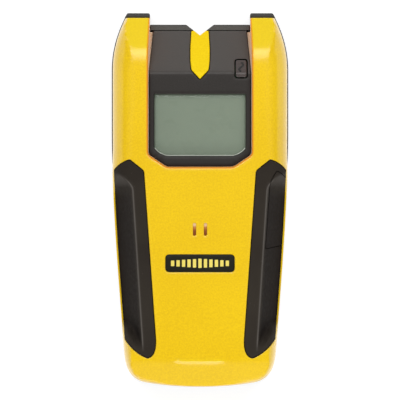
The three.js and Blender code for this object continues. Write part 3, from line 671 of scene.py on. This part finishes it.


# In the yellow, dark, panel and rubber looks the last pair of colours is painted shade and painted
# highlight, which the pieces' tones mix in.
LOOKS = {
    "housing_yellow": moulded(
        "yellow_plastic", (236, 192, 5), (248, 207, 10), (0.34, 0.42), 1500, 0.03, mottle=1300,
        shade_and_highlight=((246, 148, 22), (250, 222, 30)), Specular_IOR_Level=0.0, Coat_Weight=0.6, Coat_Roughness=0.22,
        Coat_IOR=1.7, Sheen_Weight=0.9, Sheen_Roughness=0.3, Sheen_Tint=(1.0, 0.9, 0.75, 1.0),
    ),
    "housing_dark": moulded(
        "dark_plastic", (54, 51, 48), (62, 59, 56), (0.50, 0.62), 1800, 0.03, mottle=1500,
        shade_and_highlight=((18, 16, 14), (100, 98, 90)), Specular_IOR_Level=0.3,
    ),
    "panel_dark": moulded(
        "panel_plastic", (39, 35, 32), (47, 43, 40), (0.40, 0.50), 1800, 0.03, mottle=1500,
        shade_and_highlight=((24, 20, 17), (96, 92, 89)), Specular_IOR_Level=0.25,
    ),
    "window_clear": clear("clear_window", (150, 164, 146), 0.22),
    "lcd": moulded("lcd_layer", (138, 151, 132), (146, 159, 139), (0.25, 0.35), 400, 0.005, 0.05),
    "lens_smoke": moulded(
        "smoked_lens", (64, 56, 55), (76, 68, 66), (0.22, 0.30), 900, 0.01, 0.1, Specular_IOR_Level=0.3
    ),
    "badge_black": moulded(
        "badge_enamel", (25, 24, 12), (32, 31, 18), (0.35, 0.45), 1800, 0.01, 0.15, Specular_IOR_Level=0.2
    ),
    "grip_rubber": moulded(
        "grip_rubber", (48, 43, 38), (55, 50, 44), (0.66, 0.80), 1800, 0.04, 0.4, specks=(88, 82, 78),
        shade_and_highlight=((31, 26, 24), (106, 101, 96)), Specular_IOR_Level=0.03,
    ),
    "component_black": moulded("component_black", (20, 20, 22), (30, 30, 32), (0.40, 0.55), 2000, 0.03),
    "board_green": moulded("solder_resist", (26, 84, 48), (36, 104, 60), (0.28, 0.42), 700, 0.03),
    "copper_plate": metal("copper", (176, 104, 62), (204, 134, 88), (0.28, 0.45), brush=(1, 8, 1)),
    "buzzer_brass": metal("brass", (150, 100, 40), (190, 140, 66), (0.28, 0.42), brush=(1, 6, 1)),
    "ceramic_white": moulded("ceramic", (208, 205, 196), (226, 223, 214), (0.40, 0.55), 1600, 0.02),
    "tinned_metal": metal("tin", (176, 176, 172), (206, 206, 202), (0.24, 0.40)),
    "capacitor_sleeve": moulded("sleeve", (34, 44, 66), (46, 58, 84), (0.28, 0.40), 1500, 0.02),
    "battery_jacket": moulded("battery_jacket", (38, 52, 76), (52, 68, 96), (0.26, 0.36), 1200, 0.02),
    "lead_red": moulded("red_insulation", (168, 36, 28), (186, 48, 38), (0.40, 0.52), 1500, 0.02),
    "lead_black": moulded("black_insulation", (22, 22, 22), (32, 32, 32), (0.40, 0.52), 1500, 0.02),
    "screw_steel": metal("zinc_plated_steel", (138, 138, 136), (176, 176, 172), (0.24, 0.42), grain=2400),
    "glide_felt": moulded(
        "felt", (50, 48, 46), (74, 71, 68), (0.90, 1.00), 3200, 0.25, 0.9, specks=(104, 100, 96)
    ),
    "label_film": moulded("label_film", (196, 196, 193), (208, 208, 205), (0.36, 0.46), 1300, 0.01, 0.1),
}
INSERT_YELLOW = moulded(
    "insert_plastic", (246, 208, 18), (254, 220, 26), (0.40, 0.50), 1500, 0.03, mottle=1300,
    Specular_IOR_Level=0.05,
)
MARK_PALE = moulded("badge_marking", (236, 216, 96), (246, 228, 112), (0.40, 0.50), 1500, 0.01, 0.1)
MARK_DARK = moulded("lens_marking", (14, 12, 12), (22, 20, 20), (0.30, 0.42), 1500, 0.01, 0.1)
SLOT_SHADE = slot_shade_look()
# A pale colour for the strip along the window's lower edge: a painted highlight.
WINDOW_EDGE_HIGHLIGHT = moulded("window_bevel", (196, 202, 190), (214, 220, 208), (0.20, 0.30), 1500, 0.01, 0.1)


def finish_piece(obj, body, slot, nodes=(), material=None):
    """Material, from the slot's look unless one is given, body and the CAD nodes that a piece stands for."""
    obj.data.materials.append(material or LOOKS[slot])
    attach(obj, body)
    if nodes:
        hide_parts(*nodes)
    return obj


# ---- Front housing ---------------------------------------------------------------------------------
EDGE_ROLL = 1.0


def opening_at(z, extra=0.0):
    """The display opening in plan where its wall is at height z, a function of y, and extra further out."""
    loop = dense(OPENING, 1.0)
    return inset(loop, -(GAP + DRAFT * (z(loop[:, 1]) - PANEL_Z) + extra))


def housing_z(p, d):
    """The housing's outer face: the body's form, the rims beside the grips and the opening's wall."""
    y = p[:, 1]
    q = folded(p)
    z = body_z(p)
    side = depth(p, OUTLINE)
    band = inside(q, GRIP_WIDE) & (side < GRIP_RIM + 0.2)
    z = np.where(band, np.minimum(z, grip_z(q)), z)
    out = -depth(p, OPENING) - GAP
    lip = out - DRAFT * (face_z(y) - EDGE_ROLL - PANEL_Z)
    rolled = z - rounding(lip, EDGE_ROLL)
    wall = PANEL_Z + out / DRAFT
    return np.where(lip < 0, np.minimum(rolled, wall), rolled)


def housing_painted_light(p):
    """Painted shade, a deeper orange, on the rolled edge of the opening, a painted highlight on the chin's
    ridge and painted light, paler, on the ears' slopes.
    """
    y = p[:, 1]
    lip = -depth(p, OPENING) - GAP - DRAFT * (face_z(y) - EDGE_ROLL - PANEL_Z)
    orange = 1 - smooth(0.35, 1.05, lip)
    slope = smooth(-0.1, 0.5, roll_z(p) - face_z(y)) * smooth(60, 64, y)
    return 0.45 * chin_ridge(p, 0.75) + 0.5 * slope * (1 - orange) - 0.9 * orange


def housing_under(p, d):
    """The housing's inner face: a skin under the face, and walls down to the split line."""
    x, y = np.abs(p[:, 0]), p[:, 1]
    skin = HOUSING_SKIN
    side = depth(p, OUTLINE) - front_step(y)
    walls = (side < skin) | (y > EAR_END_Y - skin) | ((x < EAR_INNER_X + skin) & (y > EAR_GAP_Y - skin))
    return np.where(walls, SPLIT_Z + HALF_GAP, housing_z(p, d) - skin)


OUTER = inset(OUTLINE, front_step(OUTLINE[:, 1]))
OPENING_FOOT = opening_at(lambda y: panel_z(y) - 1.2)
EAR_GAP = past(EAR_GAP_Y, EAR_INNER_X)
BEYOND_EARS = past(EAR_END_Y)
SLOT_X = 2.35
SLOTS = [slot_loop(-SLOT_X), slot_loop(SLOT_X)]
BADGE_HOLE = badge_loop(0.2)


def front_keep(p):
    shut = inside(p, OUTER) & (p[:, 1] < EAR_END_Y)
    open_middle = inside(p, OPENING_FOOT) | inside(p, EAR_GAP)
    holes = in_grip(p, HALF_GAP) | inside(p, BADGE_HOLE) | inside(p, SLOTS[0]) | inside(p, SLOTS[1])
    return shut & ~open_middle & ~holes


def level_line(y, half):
    """A guide across the tool at y."""
    return np.array([(-half, y), (half, y), (half, y + 0.01)])


def roll_guides():
    """Lines round the body at even steps of the roll's slope."""
    y = OUTLINE[:, 1]
    angles = np.radians(range(9, 91, 9))
    return [inset(OUTLINE, front_step(y) + roll_reach(y) * (1 - math.cos(a))) for a in angles]


def front_housing():
    grip_hole = inset(GRIP_WIDE, -HALF_GAP)
    rim_line = inset(OUTLINE, GRIP_RIM - HALF_GAP)
    skin_lines = [inset(OUTER, HOUSING_SKIN - 0.05), inset(OUTER, HOUSING_SKIN + 0.05)]
    loops = [OUTER, OPENING_FOOT, EAR_GAP, BEYOND_EARS, grip_hole, mirrored(grip_hole), rim_line]
    loops += SLOTS + [BADGE_HOLE]
    lips = [opening_at(lambda y: face_z(y) - EDGE_ROLL, e) for e in (0, 0.08, 0.3, 0.62, 1.0)]
    chin = [level_line(CHIN_RIDGE_Y + s, 12) for s in (-1.2, -0.6, 0, 0.6, 1.2)]
    obj = sheet(
        "front_housing_shell", loops, front_keep, housing_z, housing_under, edge=0.3,
        guides=roll_guides() + skin_lines + lips + chin, tone=housing_painted_light,
    )
    finish_piece(obj, "body", "housing_yellow", ["front_housing"])
    # A sheet closing each sound slot just under its opening, coloured with painted shade and painted light.
    for side, slot in zip(("left", "right"), SLOTS):
        grown = inset(slot, -GAP)
        floor = sheet(
            f"sound_slot_shade_sheet_{side}", [grown], lambda p: inside(p, grown),
            lambda p, d: 34.2 + 0.12 * (p[:, 1] + 12.6), 33.0, spacing=0.6, edge=0.05,
        )
        finish_piece(floor, "body", "housing_yellow", material=SLOT_SHADE)


# ---- Grips and the scan key ------------------------------------------------------------------------
def grip_top(p, d):
    return grip_z(p)


def grip_under(p, d):
    return np.maximum(grip_z(p) - GRIP_SKIN, SPLIT_Z + 0.4)


def grip_guides():
    """Lines along the ridge and down the scoop, close together where it bends most."""
    y = np.linspace(-64, 14, 60)
    inner, outer = scoop_edges(y)
    lines = []
    for u in (-0.08, -0.04, 0.0, 0.04, 0.08, 0.2, 0.35, 0.55, 0.8):
        run = np.column_stack([inner + (outer - inner) * u, y])
        lines.append(np.vstack([run, run[::-1] + [0.001, 0]]))
    return lines


def grips():
    plan = inset(GRIP_WIDE, HALF_GAP)
    loops = [plan, inset(OUTLINE, GRIP_RIM)]
    style = dict(spacing=1.2, edge=0.25, guides=grip_guides(), tone=grip_painted_light)

    def whole(p):
        return inside(p, plan) & (depth(p, OUTLINE) > GRIP_RIM) & (p[:, 0] > 0)

    def round_key(p):
        return whole(p) & ~inside(p, key_loop(KEY_GAP))

    def key(p):
        return whole(p) & inside(p, key_loop(lean=KEY_LEAN))

    left = sheet("grip_left_rubber", loops, whole, grip_top, grip_under, mirror=True, **style)
    finish_piece(left, "body", "grip_rubber", ["grip_left"])
    right = sheet("grip_right_rubber", loops + [key_loop(KEY_GAP)], round_key, grip_top, grip_under, **style)
    finish_piece(right, "body", "grip_rubber", ["grip_right"])
    button = sheet("scan_key_rubber", loops + [key_loop(lean=KEY_LEAN)], key, grip_top, grip_under, **style)
    finish_piece(button, "button", "grip_rubber", ["scan_button"])


# ---- Display group ---------------------------------------------------------------------------------
def panel_top(p, d):
    return panel_z(p[:, 1])


def panel_under(p, d):
    return panel_z(p[:, 1]) - PANEL_SKIN


def panel_painted_light(p):
    """Painted shade in the narrow strips beside the window, painted light on the slope and a painted
    highlight on its crease.
    """
    x, y = np.abs(p[:, 0]), p[:, 1]
    strips = smooth(WINDOW_HIGH[0] + 0.3, PANEL_HALF - 0.6, x) * (1 - smooth(CREASE_Y - 4, CREASE_Y, y))
    crease = np.exp(-(((y - CREASE_Y) / 0.7) ** 2))
    return 0.6 * smooth(CREASE_Y - 0.5, CREASE_Y + 1.5, y) + 0.3 * crease - 0.6 * strips


def display_panel():
    wall = dense(OPENING, 1.0)
    plan = inset(wall, -DRAFT * (panel_z(wall[:, 1]) - PANEL_Z))
    holes = [window_loop(), insert_loop(GAP), lens_loop(0.5), notch_loop()]

    def keep(p):
        kept = inside(p, plan) & (p[:, 1] < PANEL_END_Y)
        for hole in holes:
            kept &= ~inside(p, hole)
        return kept

    crease = [level_line(CREASE_Y + s, 30) for s in (-1.2, -0.7, 0, 0.7, 1.2)]
    body = sheet(
        "display_panel_face", [plan, past(PANEL_END_Y)] + holes, keep, panel_top, panel_under, edge=0.3,
        guides=crease, tone=panel_painted_light,
    )
    finish_piece(body, "body", "panel_dark", ["display_panel"])


def marking_insert():
    def keep(p):
        return inside(p, insert_loop()) & ~inside(p, notch_loop()) & (p[:, 1] < PANEL_END_Y)

    loops = [insert_loop(), notch_loop(), past(PANEL_END_Y)]
    obj = sheet(
        "marking_insert_body", loops, keep, lambda p, d: panel_top(p, d) + 0.7, panel_under, spacing=0.9,
        edge=0.45,
    )
    finish_piece(obj, "body", "housing_yellow", ["marking_insert"], INSERT_YELLOW)


def window_group():
    top = WINDOW_HIGH[2]
    under = top - 1.1
    pane = window_loop(-0.5)
    obj = sheet("display_window_pane", [pane], lambda p: inside(p, pane), top, under, spacing=3, edge=0.2)
    finish_piece(obj, "body", "window_clear", ["display_window"])
    # A pale strip round the window's lower edge and corners, a painted highlight where that edge would catch
    # the light.
    outer, inner = window_loop(-0.1), window_loop(-0.45)

    def lower_edge(p):
        return inside(p, outer) & ~inside(p, inner) & (p[:, 1] < WINDOW_LOW[1] + 3.4)

    strip = sheet("display_window_bevel", [outer, inner], lower_edge, top, under, spacing=0.6, edge=0.12)
    finish_piece(strip, "body", "window_clear", material=WINDOW_EDGE_HIGHLIGHT)
    (x0, y0, _), (x1, y1, _) = cad("lcd_frame")
    face = rounded_box(x0 + GAP, x1 - GAP, y0 + GAP, y1 - GAP, 0.8)
    z = cad("lcd_glass")[1][2] + 0.05
    obj = sheet("lcd_front_layer", [face], lambda p: inside(p, face), z + 0.5, z, spacing=3, edge=0.1)
    finish_piece(obj, "body", "lcd", ["lcd_glass"])


def warning_lens():
    obj = sheet(
        "warning_lens_cap", [lens_loop()], lambda p: inside(p, lens_loop()),
        lambda p, d: panel_top(p, d) + 0.2, lambda p, d: panel_top(p, d) - 2.4, spacing=0.7, edge=0.35,
    )
    finish_piece(obj, "body", "lens_smoke", ["warning_lens"])
    cx, cy = (LENS_LOW[:2] + LENS_HIGH[:2]) / 2
    t = np.linspace(-1, 1, 25)
    wave = np.column_stack([cx + 0.85 * np.sin(t * math.pi), cy + 0.7 + 2.0 * t])
    across = np.gradient(wave, axis=0)
    across = np.column_stack([-across[:, 1], across[:, 0]])
    across /= np.linalg.norm(across, axis=1, keepdims=True)
    half_width = 0.42
    stroke = np.vstack([wave - across * half_width, (wave + across * half_width)[::-1]])
    mark = sheet(
        "warning_lens_mark", [stroke], lambda p: inside(p, stroke), lambda p, d: panel_top(p, d) + 0.24,
        lambda p, d: panel_top(p, d) + 0.1, spacing=0.4, edge=0.05,
    )
    finish_piece(mark, "body", "lens_smoke", material=MARK_DARK)


def badge():
    """A plain plate with a row of bars, the tallest in the middle."""
    top = BADGE_HIGH[2]
    plan = badge_loop()
    obj = sheet("badge_plate_body", [plan], lambda p: inside(p, plan), top - 0.04, BADGE_LOW[2], edge=0.22)
    finish_piece(obj, "body", "badge_black", ["badge_plate"])
    cy = (BADGE_LOW[1] + BADGE_HIGH[1]) / 2
    bars, pitch, half_width = 11, 2.35, 0.72
    for k in range(bars):
        step = k - (bars - 1) / 2
        x = step * pitch
        half = 2.0 - abs(step) * 0.16
        bar = rounded_box(x - half_width, x + half_width, cy - half, cy + half, 0.2, 3)
        mark = sheet(
            f"badge_bar_{k + 1}", [bar], lambda p: inside(p, bar), top, top - 0.1, spacing=0.5, edge=0.03
        )
        finish_piece(mark, "body", "badge_black", material=MARK_PALE)


# ---- Rear housing ----------------------------------------------------------------------------------
REAR_OUTER = inset(OUTLINE, rear_step(OUTLINE[:, 1]))
CORNER = 0.8  # rounding of the ear tips in plan


def rear_gap_loop():
    """The gap between the ears, flaring at its open end to round their inner corners."""
    x, y = EAR_INNER_X, HALF_LENGTH
    flare = curve((x, y - CORNER), (x, y), (x + CORNER, y), steps=5)
    right = chain([(x, RIM_Y)], flare, [(x + CORNER, FAR_Y)])
    return chain(right, mirrored(right))


REAR_GAP = rear_gap_loop()
REAR_WALL = 3.0
SCREWS = [sum(cad(f"housing_screw_{number}")) / 2 for number in (1, 2, 3, 4)]
SCREW_HOLE_R = 3.0
SCREW_BOSS_R = 3.9
PADS = [cad(f"glide_pad_{number}") for number in (1, 2, 3, 4)]


def pad_loop(pad, grow=0.0):
    (x0, y0, _), (x1, y1, _) = pad
    return inset(rounded_box(x0, x1, y0, y1, (x1 - x0) / 2 - 0.01, 10), -grow)


FLOOR_Z = 2.8  # inner face of the back wall and of the door
BAY_TOP_Z = 21.2
BAY_WALL = 1.5
HINGE_Y, HINGE_Z = -20.0, 2.0
DOOR_HALF = 14.6
DOOR_END_Y = -72.2
DOORWAY = rounded_box(-DOOR_HALF - GAP, DOOR_HALF + GAP, DOOR_END_Y - GAP, HINGE_Y + 1.5, 0.9)
BAY = rounded_box(-14, 14, -71.4, -17.8, 0.6)
BAY_OUTSIDE = rounded_box(-15.6, 15.6, -73, -16.2, 1.0)
LATCH_POCKET = rounded_box(-5.3, 5.3, -74.0, -71.2, 0.3)
NOTCH_WALL = rounded_box(-9.5, 9.5, NOTCH_Y - 3.2, FAR_Y, 0.3)
BUMPERS = past(EAR_END_Y + GAP)
RIM_START_Y = 73.35
RIM = past(RIM_START_Y, EAR_INNER_X - GAP)


def rear_keep(p):
    return inside(p, REAR_OUTER) & ~inside(p, REAR_GAP) & ~inside(p, notch_loop())


def rear_low(p, d):
    """The back: its doorway, battery bay and latch pocket, and the seats of the screws and the pads."""
    z = np.full(len(p), BACK_Z)
    z[inside(p, DOORWAY)] = 3.7
    z[inside(p, BAY)] = BAY_TOP_Z
    z[inside(p, LATCH_POCKET)] = 5.5
    for screw in SCREWS:
        z[inside(p, circle(screw[0], screw[1], SCREW_HOLE_R))] = 5.4
    for pad in PADS:
        z[inside(p, pad_loop(pad, 0.2))] = 1.5
    return z


def rear_high(p, d):
    """The inside: walls, floor, the bay's box, screw bosses and, past the panel, the rim and the bumpers."""
    y = p[:, 1]
    z = np.where(d < REAR_WALL, SPLIT_Z, FLOOR_Z)
    z = np.where(inside(p, BAY_OUTSIDE), BAY_TOP_Z + BAY_WALL, z)
    z = np.where(inside(p, NOTCH_WALL), np.minimum(panel_z(y) - PANEL_SKIN - HALF_GAP, 17.6), z)
    for screw in SCREWS:
        z = np.where(inside(p, circle(screw[0], screw[1], SCREW_BOSS_R)), SPLIT_Z, z)
    z = np.where(inside(p, RIM), 18.3 - 1.28 * (y - 73.4), z)
    bumper = 16 - 1.32 * np.maximum(y - 79.6, 0) - rounding(y - EAR_END_Y - GAP, 0.5)
    return np.where(inside(p, BUMPERS), bumper, z)


def rear_painted_light(p):
    """Painted shade along the ledge beside the shoulders and at the edges of the bumpers and the rim, and
    painted light across the middle, where the rim shows between the ears.
    """
    x, y = np.abs(p[:, 0]), p[:, 1]
    ledge = 1 - smooth(0.9, 1.3, depth(p, REAR_OUTER))
    cap = np.exp(-(((y - 79.7) / 0.45) ** 2))
    cap_edges = smooth(80.2, 80.7, y) + 1 - smooth(78.75, 79.15, y)
    rim_edge = smooth(RIM_Y - 0.5, RIM_Y - 0.15, y)
    sides = np.where(x < EAR_INNER_X, 0.35 - 1.0 * rim_edge, -ledge)
    return np.where((y > EAR_END_Y) & (x > EAR_INNER_X - 0.1), -0.1 * cap - 0.9 * cap_edges, sides)


def rear_housing():
    wells = [circle(s[0], s[1], r) for s in SCREWS for r in (SCREW_HOLE_R, SCREW_BOSS_R)]
    steps = [DOORWAY, BAY, BAY_OUTSIDE, LATCH_POCKET, NOTCH_WALL, BUMPERS, RIM] + wells
    steps += [pad_loop(pad, 0.2) for pad in PADS]
    wall_line = inset(REAR_OUTER, REAR_WALL)
    guides = both_sides([dense(s, 1.5) for s in steps + [wall_line]])
    guides += [inset(REAR_OUTER, 0.85), inset(REAR_OUTER, 1.35)]
    guides += [level_line(y, 34) for y in (78.75, 79.15, 79.45, 79.7, 79.95, 80.2, 80.6)]
    guides += [level_line(RIM_Y - s, 24) for s in (0.5, 0.15)]
    loops = [REAR_OUTER, REAR_GAP, notch_loop()]
    obj = sheet(
        "rear_housing_shell", loops, rear_keep, rear_low, rear_high, spacing=2.0, edge=1.3, back_edge=0.35,
        guides=guides, upward=-1, tone=rear_painted_light,
    )
    finish_piece(obj, "body", "housing_dark", ["rear_housing"])


# ---- Battery door and the pieces on the back ---------------------------------------------------------
def door():
    y0, y1 = DOOR_END_Y, HINGE_Y + 0.9
    plan = rounded_box(-DOOR_HALF, DOOR_HALF, y0, y1, 0.8)
    ribs = [rounded_box(-7, 7, y0 + 3 + k * 1.8, y0 + 3.9 + k * 1.8, 0.4) for k in range(4)]

    def face(p, d):
        z = np.full(len(p), BACK_Z)
        for rib in ribs:
            z[inside(p, rib)] = BACK_Z + 0.5
        return z

    plate = sheet(
        "battery_door_plate", [plan], lambda p: inside(p, plan), face, FLOOR_Z, spacing=1.6, edge=0.3,
        guides=both_sides([dense(rib, 1.0) for rib in ribs]), upward=-1,
    )
    finish_piece(plate, "door", "housing_dark", ["battery_door"])
    rod("battery_door_knuckle", 1.2, 1.0, DOOR_HALF - 0.1, HINGE_Y, HINGE_Z, "door", "housing_dark")
    rod("battery_door_pins", 0.45, 0.35, 16.4, HINGE_Y, HINGE_Z, "door", "housing_dark")
    hook = [(1.2, 2.5), (1.2, 5.2), (0, 5.2), (-1.1, 4.8), (-1.2, 4.3), (0, 3.6), (0, 2.5)]
    hook = np.array([(y0 + y, z) for y, z in hook])
    swept("battery_door_latch", soften(hook, 0.2, 3), -5, 5, "door", "housing_dark")


def rod(name, radius, end_radius, half, y, z, body, slot):
    """A round rod with chamfered ends along X, from -half to half, about the line at y and z."""
    sides, chamfer = 32, 0.2
    profile = [(end_radius, -half), (radius, chamfer - half), (radius, half - chamfer), (end_radius, half)]
    points, faces = [], []
    for r, x in profile:
        for k in range(sides):
            a = 2 * math.pi * k / sides
            points.append((x, y + r * math.cos(a), z + r * math.sin(a)))
    rows = len(profile)
    for i in range(rows - 1):
        for k in range(sides):
            j = (k + 1) % sides
            faces.append((i * sides + k, i * sides + j, (i + 1) * sides + j, (i + 1) * sides + k))
    faces.append(tuple(reversed(range(sides))))
    faces.append(tuple(range((rows - 1) * sides, rows * sides)))
    return finish_piece(mesh_object(name, points, faces), body, slot)


def swept(name, profile, x0, x1, body, slot):
    """A closed profile in Y and Z drawn out across X."""
    n = len(profile)
    points = [(x, y, z) for x in (x0, x1) for y, z in profile]
    area = sum(a[0] * b[1] - b[0] * a[1] for a, b in zip(profile, np.roll(profile, -1, axis=0)))
    faces = [(i, (i + 1) % n, n + (i + 1) % n, n + i) for i in range(n)]
    faces += [tuple(reversed(range(n))), tuple(range(n, 2 * n))]
    return finish_piece(mesh_object(name, points, faces, flip=area < 0), body, slot)


def housing_screws():
    """Domed screw heads with a cross recess."""
    arm, reach = 0.42, 1.5
    quarter = [(arm, reach), (arm, arm), (reach, arm), (reach, -arm), (arm, -arm), (arm, -reach)]
    cross = np.array(quarter + [(-x, -y) for x, y in quarter])[::-1]
    head_r = 2.6
    for k, screw in enumerate(SCREWS):
        head = circle(screw[0], screw[1], head_r, 36)
        recess = cross + screw[:2]

        def face(p, d):
            dome = 3.35 + 0.25 * (1 - np.clip(d / head_r, 0, 1)) ** 2
            return np.where(inside(p, recess), 4.4, dome)

        obj = sheet(
            f"housing_screw_head_{k + 1}", [head], lambda p: inside(p, head), face, 5.2, spacing=0.5,
            edge=0.3, guides=both_sides([recess]), upward=-1,
        )
        finish_piece(obj, "body", "screw_steel", [f"housing_screw_{k + 1}"])


def glide_pads():
    for k, pad in enumerate(PADS):
        plan = pad_loop(pad)
        obj = sheet(
            f"glide_pad_felt_{k + 1}", [plan], lambda p: inside(p, plan), 0.0, 1.3, spacing=1.0,
            edge=0.35, upward=-1,
        )
        finish_piece(obj, "body", "glide_felt", [f"glide_pad_{k + 1}"])


def rating_label():
    low, high = cad("rating_label")
    plan = rounded_box(low[0], high[0], low[1], high[1], 2.0)
    obj = sheet(
        "rating_label_film", [plan], lambda p: inside(p, plan), low[2], high[2], spacing=2.5, edge=0.08,
        upward=-1,
    )
    finish_piece(obj, "body", "label_film", ["rating_label"])


# ---- Inner nodes, carried over from the CAD ---------------------------------------------------------
def paint_inner_nodes():
    """A finished material on each CAD node still showing, by the slot its plain one is named after."""
    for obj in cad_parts.values():
        if obj.hide_render:
            continue
        plain = obj.data.materials[0].name.split(".")[0] if obj.data.materials else ""
        obj.data.materials.clear()
        obj.data.materials.append(LOOKS.get(plain, LOOKS["component_black"]))


# ---- Studio ----------------------------------------------------------------------------------------
AIM = (0, 0, 0.02)


def area_light(name, place, size, power):
    """A rectangular light of so many metres and watts, turned to the object."""
    data = bpy.data.lights.new(name, "AREA")
    data.shape = "RECTANGLE"
    data.size, data.size_y = size
    data.energy = power
    obj = bpy.data.objects.new(name, data)
    obj.location = place
    obj.rotation_euler = (Vector(AIM) - Vector(place)).to_track_quat("-Z", "Y").to_euler()
    bpy.context.collection.objects.link(obj)


def paper_floor():
    half = 3.0 / MM
    corners = [(x * half, y * half, -0.05) for x, y in ((-1, -1), (1, -1), (1, 1), (-1, 1))]
    floor = mesh_object("floor", corners, [(0, 1, 2, 3)])
    nodes = Nodes("floor_paper")
    tone = nodes.ramp(nodes.noise(3, 2), [(0.3, (0.36, 0.36, 0.36, 1)), (0.7, (0.39, 0.39, 0.39, 1))])
    nodes.link(tone, nodes.shader.inputs["Base Color"])
    nodes.set(Roughness=0.9, Specular_IOR_Level=0.1, Emission_Color=(1, 1, 1, 1), Emission_Strength=0.78)
    floor.data.materials.append(nodes.material)


def lighting():
    world = bpy.data.worlds.new("soft_room")
    world.use_nodes = True
    world.node_tree.nodes["Background"].inputs["Color"].default_value = (1, 1, 1, 1)
    world.node_tree.nodes["Background"].inputs["Strength"].default_value = 0.24
    bpy.context.scene.world = world
    lights = [
        ("key_far", (0, 0.62, 1.25), (1.6, 0.6), 13.0),
        ("key_near", (0, -1.15, 0.8), (1.6, 0.6), 10.8),
        ("side_left", (-0.8, 0, 1.1), (0.4, 1.4), 0.4),
        ("side_right", (0.8, 0, 1.1), (0.4, 1.4), 0.4),
        ("low_far", (0, 1.4, 0.36), (1.4, 0.4), 1.4),
    ]
    for name, place, size, power in lights:
        area_light(name, place, size, power)


def view():
    """The camera, square above the display face and far off, so that it sees almost no perspective."""
    scene = bpy.context.scene
    scene.view_settings.view_transform = "Standard"
    scene.view_settings.look = "None"
    reach = 3.0
    frame_height = 0.1727
    sensor = 36
    data = bpy.data.cameras.new("camera")
    data.sensor_width = sensor
    data.lens = sensor * reach / frame_height
    data.clip_end = 10
    camera = bpy.data.objects.new("camera", data)
    camera.location = (0, 0, reach + AIM[2])
    bpy.context.collection.objects.link(camera)
    scene.camera = camera


front_housing()
grips()
display_panel()
marking_insert()
window_group()
warning_lens()
badge()
rear_housing()
door()
housing_screws()
glide_pads()
rating_label()
paint_inner_nodes()
paper_floor()
lighting()
view()
